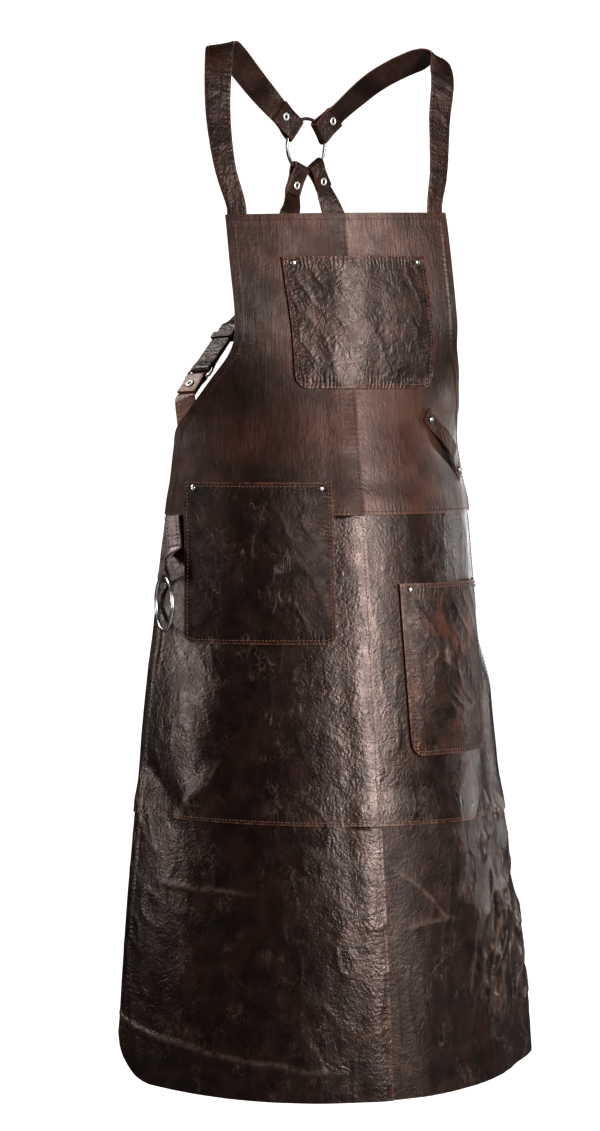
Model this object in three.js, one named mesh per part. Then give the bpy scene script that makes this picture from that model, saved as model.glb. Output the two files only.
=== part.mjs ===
// A long leather work apron: a bib and a flared skirt in six lapped panels, three patch pockets, a slanting
// tool loop, a steel ring on a leather loop at the waist, and four straps that meet on a back ring.
// Millimetres, +Z up. The front faces -Y. Left and right are as seen from the front, so left is -X.
// The origin is where the apron hangs: midway between the two shoulder straps, under their tops.
import * as THREE from 'three';

// Leather and clearances
const LEATHER = 1.6;
const STRAP_LEATHER = 2.4;
const LOOP_LEATHER = 1.6;
const GAP = 0.35;
const LAYER = LEATHER + GAP;

// Seam levels, measured down from the shoulders, and how far one panel laps over the next
const BIB_TOP = -169;
const WAIST = -474;
const KNEE = -790;
const HEM = -1074;
const LAP = 12;
const LAP_RAMP = 8;
const HEM_CORNER = 46;

// Sections of the apron: at each level an arc of this radius, through the centre seam at seamX and seamY.
// Its edges lie halfWidth along the arc to either side. The right edge is tilted up, and both edges rise.
const SECTIONS = [
  { z: -169, seamX: -7, seamY: -46, radius: 420, halfWidth: 128, tilt: 4, rise: 0 },
  { z: -215, seamX: -5, seamY: -49, radius: 560, halfWidth: 128, tilt: 3, rise: 0 },
  { z: -279, seamX: -2, seamY: -55, radius: 640, halfWidth: 128, tilt: 2, rise: 0 },
  { z: -310, seamX: -2, seamY: -59, radius: 400, halfWidth: 132, tilt: 1, rise: 0 },
  { z: -341, seamX: -4, seamY: -64, radius: 255, halfWidth: 151, tilt: 0, rise: 0 },
  { z: -374, seamX: -5, seamY: -70, radius: 200, halfWidth: 178, tilt: 0, rise: 0 },
  { z: -392, seamX: -5, seamY: -73, radius: 188, halfWidth: 195, tilt: 0, rise: 0 },
  { z: -410, seamX: -5, seamY: -76, radius: 186, halfWidth: 200, tilt: 0, rise: 0 },
  { z: -480, seamX: -5, seamY: -87, radius: 196, halfWidth: 214, tilt: 0, rise: 0 },
  { z: -600, seamX: -5, seamY: -103, radius: 200, halfWidth: 241, tilt: 0, rise: 0 },
  { z: -720, seamX: -5, seamY: -118, radius: 208, halfWidth: 263, tilt: -4, rise: 1 },
  { z: -796, seamX: -5, seamY: -126, radius: 218, halfWidth: 273, tilt: -7, rise: 2 },
  { z: -911, seamX: -4, seamY: -139, radius: 234, halfWidth: 289, tilt: -3, rise: 4 },
  { z: -1033, seamX: -3, seamY: -148, radius: 245, halfWidth: 301, tilt: 0, rise: 11 },
  { z: -1074, seamX: -2, seamY: -150, radius: 247, halfWidth: 304, tilt: 0, rise: 16 },
];

// Folds of the skirt: ridges, or valleys where the height is negative, that run from one level to another.
// A place across the apron is a share of the half width, from -1 at the left edge to 1 at the right.
const FOLD_FADE = 70;
const FOLDS = [
  { from: -640, to: -855, topAcross: 0.97, bottomAcross: 0.92, width: 40, height: 11 },
  { from: -870, to: -1130, topAcross: 0.92, bottomAcross: 0.88, width: 40, height: 12 },
  { from: -650, to: -800, topAcross: 0.8, bottomAcross: 0.76, width: 30, height: -4 },
  { from: -780, to: -920, topAcross: 0.36, bottomAcross: 0.42, width: 32, height: 5 },
  { from: -860, to: -980, topAcross: 0.74, bottomAcross: 0.6, width: 30, height: 5 },
  { from: -650, to: -790, topAcross: -0.66, bottomAcross: -0.72, width: 44, height: 5 },
  { from: -740, to: -800, topAcross: -0.9, bottomAcross: -0.86, width: 32, height: -4 },
];

// Patch pockets: left and right edges along the arc at the mouth, mouth and bottom levels, how far the bottom
// drifts to the right and spreads, the corner radius and how far the mouth stands off the apron.
const POCKETS = [
  {
    name: 'chest_pocket', left: -74, right: 90, mouth: -214, bottom: -350,
    drift: 9, spread: 0, corner: 14, bulge: 10,
  },
  {
    name: 'hip_pocket_left', left: -186, right: -34, mouth: -446, bottom: -611,
    drift: -8, spread: 9, corner: 12, bulge: 12,
  },
  {
    name: 'hip_pocket_right', left: 36, right: 188, mouth: -551, bottom: -727,
    drift: 4, spread: 0, corner: 16, bulge: 12,
  },
];
const POCKET_RIVET_INSET = 11;
const POCKET_RIVET_DROP = 6;

// Rivets: flange radius and dome height
const SMALL_RIVET = { radius: 3.3, height: 1.8 };
const STRAP_RIVET = { radius: 4.6, height: 2 };

// Tool loop: a strip between two rivets, standing off the bib between them
const TOOL_LOOP = { width: 17, fromS: 93, fromZ: -377, toS: 172, toZ: -441, bulge: 9, rivetInset: 8 };

// Back ring: its centre, how far it is turned about Z and leant back, and where on it the straps fold round
const BACK_RING = { x: 6, y: 75, z: -91, turn: 20, lean: 4, radius: 28.2, wire: 1.8 };
const RING_PLACES = { upperLeft: 141, upperRight: 38, lowerLeft: 252, lowerRight: 305 };
const RING_TAIL = 27;
const RING_REACH = 24;
const RING_RIVET = 17;

// Straps
const SHOULDER_WIDTH = 29;
const SHOULDER_END_WIDTH = 20;
const SHOULDER_RING_WIDTH = 26;
const SHOULDER_SEWN = { inset: 12, length: 24, above: 8, clear: 1.05 };
const BACK_WIDTH = 24;
const BACK_RING_WIDTH = 20;

// Side buckles: the middle of the left one, the way its straps run up and face, and its wire frame
const BUCKLE = { x: -131.5, y: 43, z: -334, halfWidth: 16, halfHeight: 6, wire: 1.5, corner: 4 };
const BUCKLE_RUN = [0.65, 0.34, 0.70];
const BUCKLE_FACE = [-0.72, -0.3, 0.55];
const BUCKLE_TAIL = 62;
const TAB_TAIL = 24;
const TAIL_MARGIN = 5;
const TAB_RIVET = 13;
const TAB_SEWN = { inset: 14, z: -404, drop: 28, clear: 1.95 };
const KEEPER = { along: 50, height: 8, wall: 1.6 };

// Towel loop and its ring: the ring hangs with its wire through the loop's eye
const TOWEL_LOOP = {
  width: 18, eyeWidth: 12, inset: 11, eyeX: -195, eyeY: -12, eyeZ: -543, eyeSlack: 1.7, fold: 14,
};
const TOWEL_TOP = 1.2;
const TOWEL_DROPS = [0, 16, 33];
const TOWEL_RING = { radius: 27.5, wire: 2, turn: -95 };

const COLOURS = {
  leather: 0x35221d,
  pocket: 0x3a231d,
  strap: 0x402820,
  steel: 0xb9b8b6,
};
const leatherFinish = new THREE.MeshStandardMaterial({ color: COLOURS.leather, roughness: 0.55, metalness: 0 });
const pocketFinish = new THREE.MeshStandardMaterial({ color: COLOURS.pocket, roughness: 0.5, metalness: 0 });
const strapFinish = new THREE.MeshStandardMaterial({ color: COLOURS.strap, roughness: 0.55, metalness: 0 });
const steelFinish = new THREE.MeshStandardMaterial({ color: COLOURS.steel, roughness: 0.25, metalness: 1 });

const apron = new THREE.Group();
const { lerp, clamp, smoothstep, degToRad } = THREE.MathUtils;

function addPiece(name, geometry, material) {
  const mesh = new THREE.Mesh(geometry, material);
  mesh.name = name;
  apron.add(mesh);
  return mesh;
}

// A closed body from corners and triangles, turned to face outwards.
function closedBody(corners, triangles) {
  let volume = 0;
  for (const [a, b, c] of triangles) {
    volume += corners[a].dot(corners[b].clone().cross(corners[c]));
  }
  const outward = volume > 0 ? triangles : triangles.map(([a, b, c]) => [a, c, b]);
  const geometry = new THREE.BufferGeometry().setFromPoints(corners);
  geometry.setIndex(outward.flat());
  geometry.computeVertexNormals();
  return geometry;
}

// A curved leather wall over a grid. place(row, column, outer) gives a corner of its inner or outer face.
function wallBody(rows, columns, place) {
  const corners = [];
  const triangles = [];
  const at = (row, column, outer) => (row * columns + column) * 2 + outer;
  const quad = (a, b, c, d) => triangles.push([a, b, c], [a, c, d]);
  for (let row = 0; row < rows; row++) {
    for (let column = 0; column < columns; column++) {
      corners.push(place(row, column, 0), place(row, column, 1));
    }
  }
  for (let row = 0; row + 1 < rows; row++) {
    for (let column = 0; column + 1 < columns; column++) {
      quad(at(row, column, 1), at(row + 1, column, 1), at(row + 1, column + 1, 1), at(row, column + 1, 1));
      quad(at(row, column, 0), at(row, column + 1, 0), at(row + 1, column + 1, 0), at(row + 1, column, 0));
    }
    const right = columns - 1;
    quad(at(row, 0, 0), at(row + 1, 0, 0), at(row + 1, 0, 1), at(row, 0, 1));
    quad(at(row, right, 0), at(row, right, 1), at(row + 1, right, 1), at(row + 1, right, 0));
  }
  for (let column = 0; column + 1 < columns; column++) {
    const last = rows - 1;
    quad(at(0, column, 0), at(0, column, 1), at(0, column + 1, 1), at(0, column + 1, 0));
    quad(at(last, column, 0), at(last, column + 1, 0), at(last, column + 1, 1), at(last, column, 1));
  }
  return closedBody(corners, triangles);
}

// Reads one column of the sections at any level, on a smooth curve through the rows.
function sectionValue(level, column) {
  const last = SECTIONS.length - 2;
  const below = SECTIONS.findIndex((row) => row.z <= level);
  const i = below < 0 ? last : clamp(below - 1, 0, last);
  const start = SECTIONS[i];
  const end = SECTIONS[i + 1];
  const before = SECTIONS[Math.max(i - 1, 0)];
  const after = SECTIONS[Math.min(i + 2, last + 1)];
  const span = end.z - start.z;
  const t = clamp((level - start.z) / span, 0, 1);
  const startSlope = (end[column] - before[column]) / (end.z - before.z) * span;
  const endSlope = (after[column] - start[column]) / (after.z - start.z) * span;
  const rise = end[column] - start[column];
  return start[column] + t * (startSlope + t * (3 * rise - 2 * startSlope - endSlope
    + t * (startSlope + endSlope - 2 * rise)));
}

// How far the folds push the leather out at a place across the apron and a level.
function foldHeight(across, level, halfWidth) {
  let height = 0;
  for (const fold of FOLDS) {
    const down = (fold.from - level) / (fold.from - fold.to);
    const centre = lerp(fold.topAcross, fold.bottomAcross, clamp(down, 0, 1));
    const distance = (across - centre) * halfWidth / fold.width;
    const starts = 1 - smoothstep(level, fold.from - FOLD_FADE / 2, fold.from + FOLD_FADE / 2);
    const stays = smoothstep(level, fold.to - FOLD_FADE / 2, fold.to + FOLD_FADE / 2);
    height += fold.height * Math.exp(-distance * distance) * starts * stays;
  }
  return height;
}

// The bottom corners of the skirt are rounded: near them the leather is drawn up by this much.
function cornerRise(s, level, halfWidth) {
  const into = clamp(Math.abs(s) - (halfWidth - HEM_CORNER), 0, HEM_CORNER);
  const rise = HEM_CORNER - Math.sqrt(HEM_CORNER * HEM_CORNER - into * into);
  const down = clamp((KNEE - level) / (KNEE - HEM), 0, 1);
  return rise * down ** 6;
}

// A point on the apron: s along the arc from the centre seam, and out from its inner face.
function apronPoint(s, level, out) {
  const radius = sectionValue(level, 'radius');
  const halfWidth = sectionValue(level, 'halfWidth');
  const across = s / halfWidth;
  const reach = radius + out + foldHeight(across, level, halfWidth);
  return new THREE.Vector3(
    sectionValue(level, 'seamX') + reach * Math.sin(s / radius),
    sectionValue(level, 'seamY') + radius - reach * Math.cos(s / radius),
    level + sectionValue(level, 'tilt') * across + sectionValue(level, 'rise') * across * across
      + cornerRise(s, level, halfWidth),
  );
}

// The way the apron faces there.
function apronFace(s, level) {
  const angle = s / sectionValue(level, 'radius');
  return new THREE.Vector3(Math.sin(angle), -Math.cos(angle), 0);
}

// Panels. A row says how far the seam edge reaches over its neighbour, and how much of a layer the panel
// is lifted by at the centre seam and over the panel below.
const PANEL_COLUMNS = 11;
const EDGE_CROWDING = 1.35;

function panelRows({ top, bottom, tucked, lapped, count }) {
  const rows = [];
  let first = top;
  if (tucked) {
    const clear = top - LAP / 2 - GAP;
    rows.push({ level: top + LAP / 2, seamLift: 0, seamReach: 0, hangLift: 0 });
    rows.push({ level: clear, seamLift: 0, seamReach: 0, hangLift: 0 });
    rows.push({ level: clear - 1, seamLift: 1, seamReach: 0, hangLift: 0 });
    first = clear - 2;
  }
  const last = lapped ? bottom + LAP / 2 + LAP_RAMP : bottom;
  for (let i = 0; i <= count; i++) {
    rows.push({ level: lerp(first, last, i / count), seamLift: 1, seamReach: 1, hangLift: 0 });
  }
  if (lapped) {
    rows.push({ level: bottom + LAP / 2, seamLift: 1, seamReach: 1, hangLift: 1 });
    rows.push({ level: bottom - LAP / 2, seamLift: 1, seamReach: 1, hangLift: 1 });
  }
  return rows;
}

// The places along one row, from left to right, with the lift at the centre seam as a share of a layer.
// A left panel ends at the seam, on top of the strip that the right panel runs under it.
function panelColumns(row, side) {
  const inner = LAP + LAP_RAMP;
  const halfWidth = sectionValue(row.level, 'halfWidth');
  const outer = Array.from({ length: PANEL_COLUMNS }, (_, i) => {
    const share = 1 - (1 - (i + 1) / PANEL_COLUMNS) ** EDGE_CROWDING;
    return { s: side * lerp(inner, halfWidth, share), seam: 0 };
  });
  if (side > 0) {
    return [{ s: -LAP, seam: 0 }, { s: 0, seam: 0 }, { s: inner, seam: 0 }, ...outer];
  }
  const rampEnd = row.seamReach ? -LAP : -LAP - LAP_RAMP / 2;
  const edge = row.seamReach ? 0 : -LAP - GAP;
  return [
    ...outer.reverse(),
    { s: -inner, seam: 0 },
    { s: rampEnd, seam: row.seamLift },
    { s: edge, seam: row.seamLift },
  ];
}

function panelBody(extent, side) {
  const rows = panelRows(extent);
  const grid = rows.map((row) => panelColumns(row, side));
  return wallBody(rows.length, grid[0].length, (r, c, outer) => {
    const lift = LAYER * (grid[r][c].seam + rows[r].hangLift);
    return apronPoint(grid[r][c].s, rows[r].level, lift + outer * LEATHER);
  });
}

const PANELS = [
  { name: 'bib', top: BIB_TOP, bottom: WAIST, tucked: false, lapped: true, count: 13 },
  { name: 'skirt_upper', top: WAIST, bottom: KNEE, tucked: true, lapped: true, count: 9 },
  { name: 'skirt_lower', top: KNEE, bottom: HEM, tucked: true, lapped: false, count: 10 },
];
for (const extent of PANELS) {
  addPiece(`${extent.name}_left`, panelBody(extent, -1), leatherFinish);
  addPiece(`${extent.name}_right`, panelBody(extent, 1), leatherFinish);
}

// Rivets: a domed cap that sits on the leather at a point, facing a direction.
const RIVET_SIDES = 10;

function addRivet(name, at, face, { radius, height }) {
  const profile = [[0, 0], [radius, 0], [radius, 0.35 * height], [0.62 * radius, 0.85 * height], [0, height]];
  const cap = new THREE.LatheGeometry(profile.map(([x, y]) => new THREE.Vector2(x, y)), RIVET_SIDES);
  const mesh = addPiece(name, cap, steelFinish);
  mesh.position.copy(at);
  mesh.quaternion.setFromUnitVectors(new THREE.Vector3(0, 1, 0), face.clone().normalize());
}

// Pockets: a patch sewn down at its sides and bottom, with its mouth standing off the apron.
// Near a lapped seam the patch rides over the doubled leather.
const POCKET_GAP = 0.9;
const LAP_COVER = LAYER + GAP;
const LAP_COVER_SPAN = { full: LAP / 2 + 3, none: LAP / 2 + LAP_RAMP + 6 };
const POCKET_COLUMNS = [0, 0.06, 0.14, 0.24, 0.36, 0.5, 0.64, 0.76, 0.86, 0.94, 1];
const POCKET_ROWS = [0, 0.05, 0.1, 0.15, 0.2, 0.25, 0.32, 0.5, 0.66, 0.8, 0.92, 1];

function lapCover(distance) {
  return 1 - smoothstep(Math.abs(distance), LAP_COVER_SPAN.full, LAP_COVER_SPAN.none);
}

function pocketPoint(pocket, across, down, out) {
  const s = lerp(pocket.left, pocket.right, across) + (pocket.drift + pocket.spread * (across - 0.5)) * down;
  const fromEdge = Math.min(across, 1 - across) * (pocket.right - pocket.left);
  const into = clamp(pocket.corner - fromEdge, 0, pocket.corner);
  const drawnUp = pocket.corner - Math.sqrt(pocket.corner ** 2 - into ** 2);
  const level = lerp(pocket.mouth, pocket.bottom, down) + drawnUp * down ** 6;
  const bow = Math.sin(Math.PI * across) * (1 - down ** 2.5);
  const layers = lapCover(s + LAP / 2) + lapCover(level - WAIST);
  return apronPoint(s, level, LEATHER + POCKET_GAP + LAP_COVER * layers + pocket.bulge * bow + out);
}

function pocketFace(pocket, across, down) {
  const step = 0.01;
  const here = pocketPoint(pocket, across, down, LEATHER);
  const beside = pocketPoint(pocket, across + step, down, LEATHER).sub(here);
  const under = pocketPoint(pocket, across, down + step, LEATHER).sub(here);
  return under.cross(beside).normalize();
}

for (const pocket of POCKETS) {
  const patch = wallBody(POCKET_ROWS.length, POCKET_COLUMNS.length, (r, c, outer) =>
    pocketPoint(pocket, POCKET_COLUMNS[c], POCKET_ROWS[r], outer * LEATHER));
  addPiece(pocket.name, patch, pocketFinish);
  const inset = POCKET_RIVET_INSET / (pocket.right - pocket.left);
  const down = POCKET_RIVET_DROP / (pocket.mouth - pocket.bottom);
  for (const [side, across] of [['left', inset], ['right', 1 - inset]]) {
    const seat = pocketPoint(pocket, across, down, LEATHER + GAP);
    addRivet(`${pocket.name}_rivet_${side}`, seat, pocketFace(pocket, across, down), SMALL_RIVET);
  }
}

// Straps: a flat band through stations, each with its middle, the way it faces and its width.
function bandBody(stations, thickness) {
  const corners = [];
  const triangles = [];
  const last = stations.length - 1;
  stations.forEach(({ at, face, width }, i) => {
    const along = stations[Math.min(i + 1, last)].at.clone().sub(stations[Math.max(i - 1, 0)].at).normalize();
    const across = along.clone().cross(face).normalize();
    const out = across.clone().cross(along);
    for (const [x, y] of [[-1, -1], [1, -1], [1, 1], [-1, 1]]) {
      const corner = at.clone().addScaledVector(across, x * width / 2);
      corners.push(corner.addScaledVector(out, y * thickness / 2));
    }
    if (i === 0) {
      return;
    }
    const to = i * 4;
    const from = to - 4;
    for (let k = 0; k < 4; k++) {
      const next = (k + 1) % 4;
      triangles.push([from + k, from + next, to + next], [from + k, to + next, to + k]);
    }
  });
  const end = last * 4;
  triangles.push([0, 2, 1], [0, 3, 2], [end, end + 1, end + 2], [end, end + 2, end + 3]);
  return closedBody(corners, triangles);
}

// Smooth stations through a few rows, with a number of steps between each two.
function smoothRun(rows, steps) {
  const path = new THREE.CatmullRomCurve3(rows.map((row) => row.at), false, 'centripetal');
  const spans = rows.length - 1;
  const stations = [];
  for (let i = 0; i <= spans * steps; i++) {
    const span = Math.min(Math.floor(i / steps), spans - 1);
    const t = i / steps - span;
    const face = rows[span].face.clone().normalize().lerp(rows[span + 1].face.clone().normalize(), t);
    const width = lerp(rows[span].width, rows[span + 1].width, t);
    stations.push({ at: path.getPoint(i / (spans * steps)), face: face.normalize(), width });
  }
  return stations;
}

// A strap end folded round a wire: in along the face side, round the wire and back as a tail on the other side.
// run points from the wire along the strap, and sag is how far a ring's wire curves away inside the fold.
const FOLD_CLOSES_AT = 11;
const FOLD_BENDS_AT = 5;

function foldRound({ at, run, face, wire, sag, leather, tail, reach, width }) {
  const round = wire + GAP + leather / 2;
  const closed = (leather + GAP) / 2;
  const bend = [FOLD_BENDS_AT, 0.8 * round];
  const profile = [[reach, closed], [FOLD_CLOSES_AT, closed], bend, [0, round], [-sag, round]];
  const stations = profile.map(([x, y]) => ({ x, y, turn: 0 }));
  for (const turn of [45, 90, 135]) {
    const angle = degToRad(turn);
    stations.push({ x: -sag - round * Math.sin(angle), y: round * Math.cos(angle), turn: angle });
  }
  for (const [x, y] of profile.slice(1).reverse()) {
    stations.push({ x, y: -y, turn: Math.PI });
  }
  stations.push({ x: tail, y: -closed, turn: Math.PI });
  return stations.map(({ x, y, turn }) => ({
    at: at.clone().addScaledVector(run, x).addScaledVector(face, y),
    face: face.clone().multiplyScalar(Math.cos(turn)).addScaledVector(run, -Math.sin(turn)),
    width,
  }));
}

const vector = (x, y, z) => new THREE.Vector3(x, y, z);

// Back ring, with the frame that its straps share
const turned = degToRad(BACK_RING.turn);
const leant = degToRad(BACK_RING.lean);
const ringCentre = vector(BACK_RING.x, BACK_RING.y, BACK_RING.z);
const ringAcross = vector(Math.cos(turned), Math.sin(turned), 0);
const ringUp = vector(Math.sin(turned) * Math.sin(leant), -Math.cos(turned) * Math.sin(leant), Math.cos(leant));
const ringBack = ringUp.clone().cross(ringAcross);
const RING_STEPS = 36;
const WIRE_SIDES = 8;

function wireRing(name, radius, wire, centre, across, up) {
  const mesh = addPiece(name, new THREE.TorusGeometry(radius, wire, WIRE_SIDES, RING_STEPS), steelFinish);
  mesh.position.copy(centre);
  mesh.quaternion.setFromRotationMatrix(new THREE.Matrix4().makeBasis(across, up, across.clone().cross(up)));
}

wireRing('back_ring', BACK_RING.radius, BACK_RING.wire, ringCentre, ringAcross, ringUp);

function ringEnd(place, width) {
  const angle = degToRad(RING_PLACES[place]);
  const run = ringAcross.clone().multiplyScalar(Math.cos(angle)).addScaledVector(ringUp, Math.sin(angle));
  const at = ringCentre.clone().addScaledVector(run, BACK_RING.radius);
  const sag = 1.3 * width * width / (8 * BACK_RING.radius);
  return foldRound({
    at, run, face: ringBack, wire: BACK_RING.wire + GAP, sag, leather: STRAP_LEATHER,
    tail: RING_TAIL, reach: RING_REACH, width,
  });
}

function addRingRivets(place, stem) {
  const angle = degToRad(RING_PLACES[place]);
  const run = ringAcross.clone().multiplyScalar(Math.cos(angle)).addScaledVector(ringUp, Math.sin(angle));
  const seat = ringCentre.clone().addScaledVector(run, BACK_RING.radius + RING_RIVET);
  const off = 2 * GAP + STRAP_LEATHER;
  for (const [name, sign] of [['inside', -1], ['outside', 1]]) {
    const at = seat.clone().addScaledVector(ringBack, sign * off);
    addRivet(`${stem}_rivet_${name}`, at, ringBack.clone().multiplyScalar(sign), STRAP_RIVET);
  }
}

// Shoulder straps: sewn inside the bib's top corners, over the shoulders and down to the ring.
// Rows of the free stretch, with the middle of the strap and the way it faces.
const SHOULDER_RUNS = {
  left: [
    { at: vector(-132, -25, -125), face: vector(-0.2, -1, 0.1), width: 22 },
    { at: vector(-135, -14, -70), face: vector(-0.15, -1, 0.2), width: 26 },
    { at: vector(-131, -6, -18), face: vector(-0.12, -1, 0.5), width: SHOULDER_WIDTH },
    { at: vector(-124, 3, 2.5), face: vector(-0.12, 0, 1), width: SHOULDER_WIDTH },
    { at: vector(-106, 15, -6), face: vector(-0.25, 0.75, 0.75), width: SHOULDER_WIDTH },
    { at: vector(-64, 42, -36), face: vector(-0.2, 0.85, 0.55), width: 27 },
  ],
  right: [
    { at: vector(113, -25, -125), face: vector(0.2, -1, 0.1), width: 22 },
    { at: vector(120, -14, -66), face: vector(0.15, -1, 0.2), width: 26 },
    { at: vector(127, -6, -18), face: vector(0.2, -1, 0.5), width: SHOULDER_WIDTH },
    { at: vector(123, 3, 2.5), face: vector(0.2, 0, 1), width: SHOULDER_WIDTH },
    { at: vector(108, 15, -2), face: vector(0.3, 0.75, 0.75), width: SHOULDER_WIDTH },
    { at: vector(74, 42, -22), face: vector(0.25, 0.85, 0.55), width: 26 },
  ],
};
const SHOULDER_STEPS = 4;

for (const [side, sign, place] of [['left', -1, 'upperLeft'], ['right', 1, 'upperRight']]) {
  const { inset, length, above, clear } = SHOULDER_SEWN;
  const s = sign * (sectionValue(BIB_TOP, 'halfWidth') - inset);
  const sewn = [-length, -length / 3, above].map((rise) => ({
    at: apronPoint(s, BIB_TOP + rise, -clear - STRAP_LEATHER / 2),
    face: apronFace(s, BIB_TOP + rise),
    width: SHOULDER_END_WIDTH,
  }));
  const end = ringEnd(place, SHOULDER_RING_WIDTH);
  const free = smoothRun([...sewn, ...SHOULDER_RUNS[side], end[0]], SHOULDER_STEPS);
  addPiece(`shoulder_strap_${side}`, bandBody([...free, ...end.slice(1)], STRAP_LEATHER), strapFinish);
  addRingRivets(place, `shoulder_strap_${side}`);
}

// A wire frame with rounded corners, in the plane of two directions.
function frameBody({ halfWidth, halfHeight, wire, corner }, centre, across, along) {
  const normal = across.clone().cross(along);
  const middle = [];
  for (const [x, y, from] of [[1, 1, 0], [-1, 1, 90], [-1, -1, 180], [1, -1, 270]]) {
    for (const turn of [0, 45, 90]) {
      const angle = degToRad(from + turn);
      const out = across.clone().multiplyScalar(Math.cos(angle)).addScaledVector(along, Math.sin(angle));
      const at = centre.clone().addScaledVector(across, x * (halfWidth - corner));
      at.addScaledVector(along, y * (halfHeight - corner)).addScaledVector(out, corner);
      middle.push({ at, out });
    }
  }
  const corners = [];
  const triangles = [];
  middle.forEach(({ at, out }, i) => {
    for (let k = 0; k < WIRE_SIDES; k++) {
      const angle = 2 * Math.PI * k / WIRE_SIDES;
      const edge = at.clone().addScaledVector(out, wire * Math.cos(angle));
      corners.push(edge.addScaledVector(normal, wire * Math.sin(angle)));
      const here = i * WIRE_SIDES;
      const next = (i + 1) % middle.length * WIRE_SIDES;
      const turn = (k + 1) % WIRE_SIDES;
      triangles.push([here + k, next + k, next + turn], [here + k, next + turn, here + turn]);
    }
  });
  return closedBody(corners, triangles);
}

// Back straps, with the buckles, keepers and side tabs that are the same on both sides.
// Rows of the straps between the ring and the buckle.
const BACK_RUNS = {
  left: [
    { at: vector(-8, 86, -162), face: vector(-0.1, 1, 0.1), width: BACK_WIDTH },
    { at: vector(-42, 82, -228), face: vector(-0.75, 0.65, 0.5), width: BACK_WIDTH },
    { at: vector(-80, 69, -279), face: vector(-0.82, -0.15, 0.6), width: BACK_WIDTH },
  ],
  right: [
    { at: vector(44, 87, -162), face: vector(0.1, 1, 0.1), width: BACK_WIDTH },
    { at: vector(66, 82, -228), face: vector(0.75, 0.65, 0.5), width: BACK_WIDTH },
    { at: vector(88, 69, -279), face: vector(0.82, -0.15, 0.6), width: BACK_WIDTH },
  ],
};
const BACK_STEPS = 4;

for (const [side, sign, place] of [['left', -1, 'lowerLeft'], ['right', 1, 'lowerRight']]) {
  const mirrored = (x, y, z) => vector(-sign * x, y, z);
  const centre = mirrored(BUCKLE.x, BUCKLE.y, BUCKLE.z);
  const run = mirrored(...BUCKLE_RUN).normalize();
  const face = mirrored(...BUCKLE_FACE);
  face.addScaledVector(run, -face.dot(run)).normalize();
  const across = run.clone().cross(face).normalize();
  addPiece(`buckle_${side}`, frameBody(BUCKLE, centre, across, run), steelFinish);

  const upperBar = centre.clone().addScaledVector(run, BUCKLE.halfHeight);
  const doubled = foldRound({
    at: upperBar, run, face, wire: BUCKLE.wire, sag: 0, leather: STRAP_LEATHER, tail: BUCKLE_TAIL,
    reach: BUCKLE_TAIL + TAIL_MARGIN, width: BACK_WIDTH,
  });
  const ring = ringEnd(place, BACK_RING_WIDTH).reverse();
  const free = smoothRun([ring[ring.length - 1], ...BACK_RUNS[side], doubled[0]], BACK_STEPS);
  const strap = [...ring.slice(0, -1), ...free, ...doubled.slice(1)];
  addPiece(`back_strap_${side}`, bandBody(strap, STRAP_LEATHER), strapFinish);
  addRingRivets(place, `back_strap_${side}`);

  const keeperAt = upperBar.clone().addScaledVector(run, KEEPER.along);
  const holds = { width: BACK_WIDTH / 2 + GAP, depth: STRAP_LEATHER + 1.5 * GAP };
  addPiece(`keeper_${side}`, sleeveBody(keeperAt, across, face, run, holds), strapFinish);

  const lowerBar = centre.clone().addScaledVector(run, -BUCKLE.halfHeight);
  const down = run.clone().negate();
  const tabEnd = foldRound({
    at: lowerBar, run: down, face: face.clone().negate(), wire: BUCKLE.wire, sag: 0, leather: STRAP_LEATHER,
    tail: TAB_TAIL, reach: TAB_TAIL + TAIL_MARGIN, width: BACK_WIDTH,
  });
  const sewn = [TAB_SEWN.z, TAB_SEWN.z - TAB_SEWN.drop].map((level) => {
    const s = sign * (sectionValue(level, 'halfWidth') - TAB_SEWN.inset);
    const inside = -TAB_SEWN.clear - STRAP_LEATHER / 2;
    return { at: apronPoint(s, level, inside), face: apronFace(s, level).negate(), width: BACK_WIDTH };
  });
  const tab = [...smoothRun([...sewn.reverse(), tabEnd[0]], BACK_STEPS), ...tabEnd.slice(1)];
  addPiece(`side_tab_${side}`, bandBody(tab, STRAP_LEATHER), strapFinish);
  const tabSeat = lowerBar.clone().addScaledVector(down, TAB_RIVET);
  const off = 2.2 * GAP + STRAP_LEATHER;
  addRivet(`side_tab_${side}_rivet`, tabSeat.addScaledVector(face, off), face, STRAP_RIVET);
}

// A flat sleeve round a doubled strap: its hollow is given as half sizes across and through the strap.
function sleeveBody(at, across, face, run, { width, depth }) {
  const ring = (grow) => [[-1, -1], [1, -1], [1, 1], [-1, 1]].map(([x, y]) =>
    at.clone().addScaledVector(across, x * (width + grow)).addScaledVector(face, y * (depth + grow)));
  const corners = [];
  for (const [shift, grow] of [[-0.5, 0], [0.5, 0], [0.5, KEEPER.wall], [-0.5, KEEPER.wall]]) {
    corners.push(...ring(grow).map((corner) => corner.addScaledVector(run, shift * KEEPER.height)));
  }
  const triangles = [];
  for (let loop = 0; loop < 4; loop++) {
    for (let k = 0; k < 4; k++) {
      const [a, b] = [loop * 4 + k, loop * 4 + (k + 1) % 4];
      const [c, d] = [(loop + 1) % 4 * 4 + (k + 1) % 4, (loop + 1) % 4 * 4 + k];
      triangles.push([a, b, c], [a, c, d]);
    }
  }
  return closedBody(corners, triangles);
}

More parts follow.
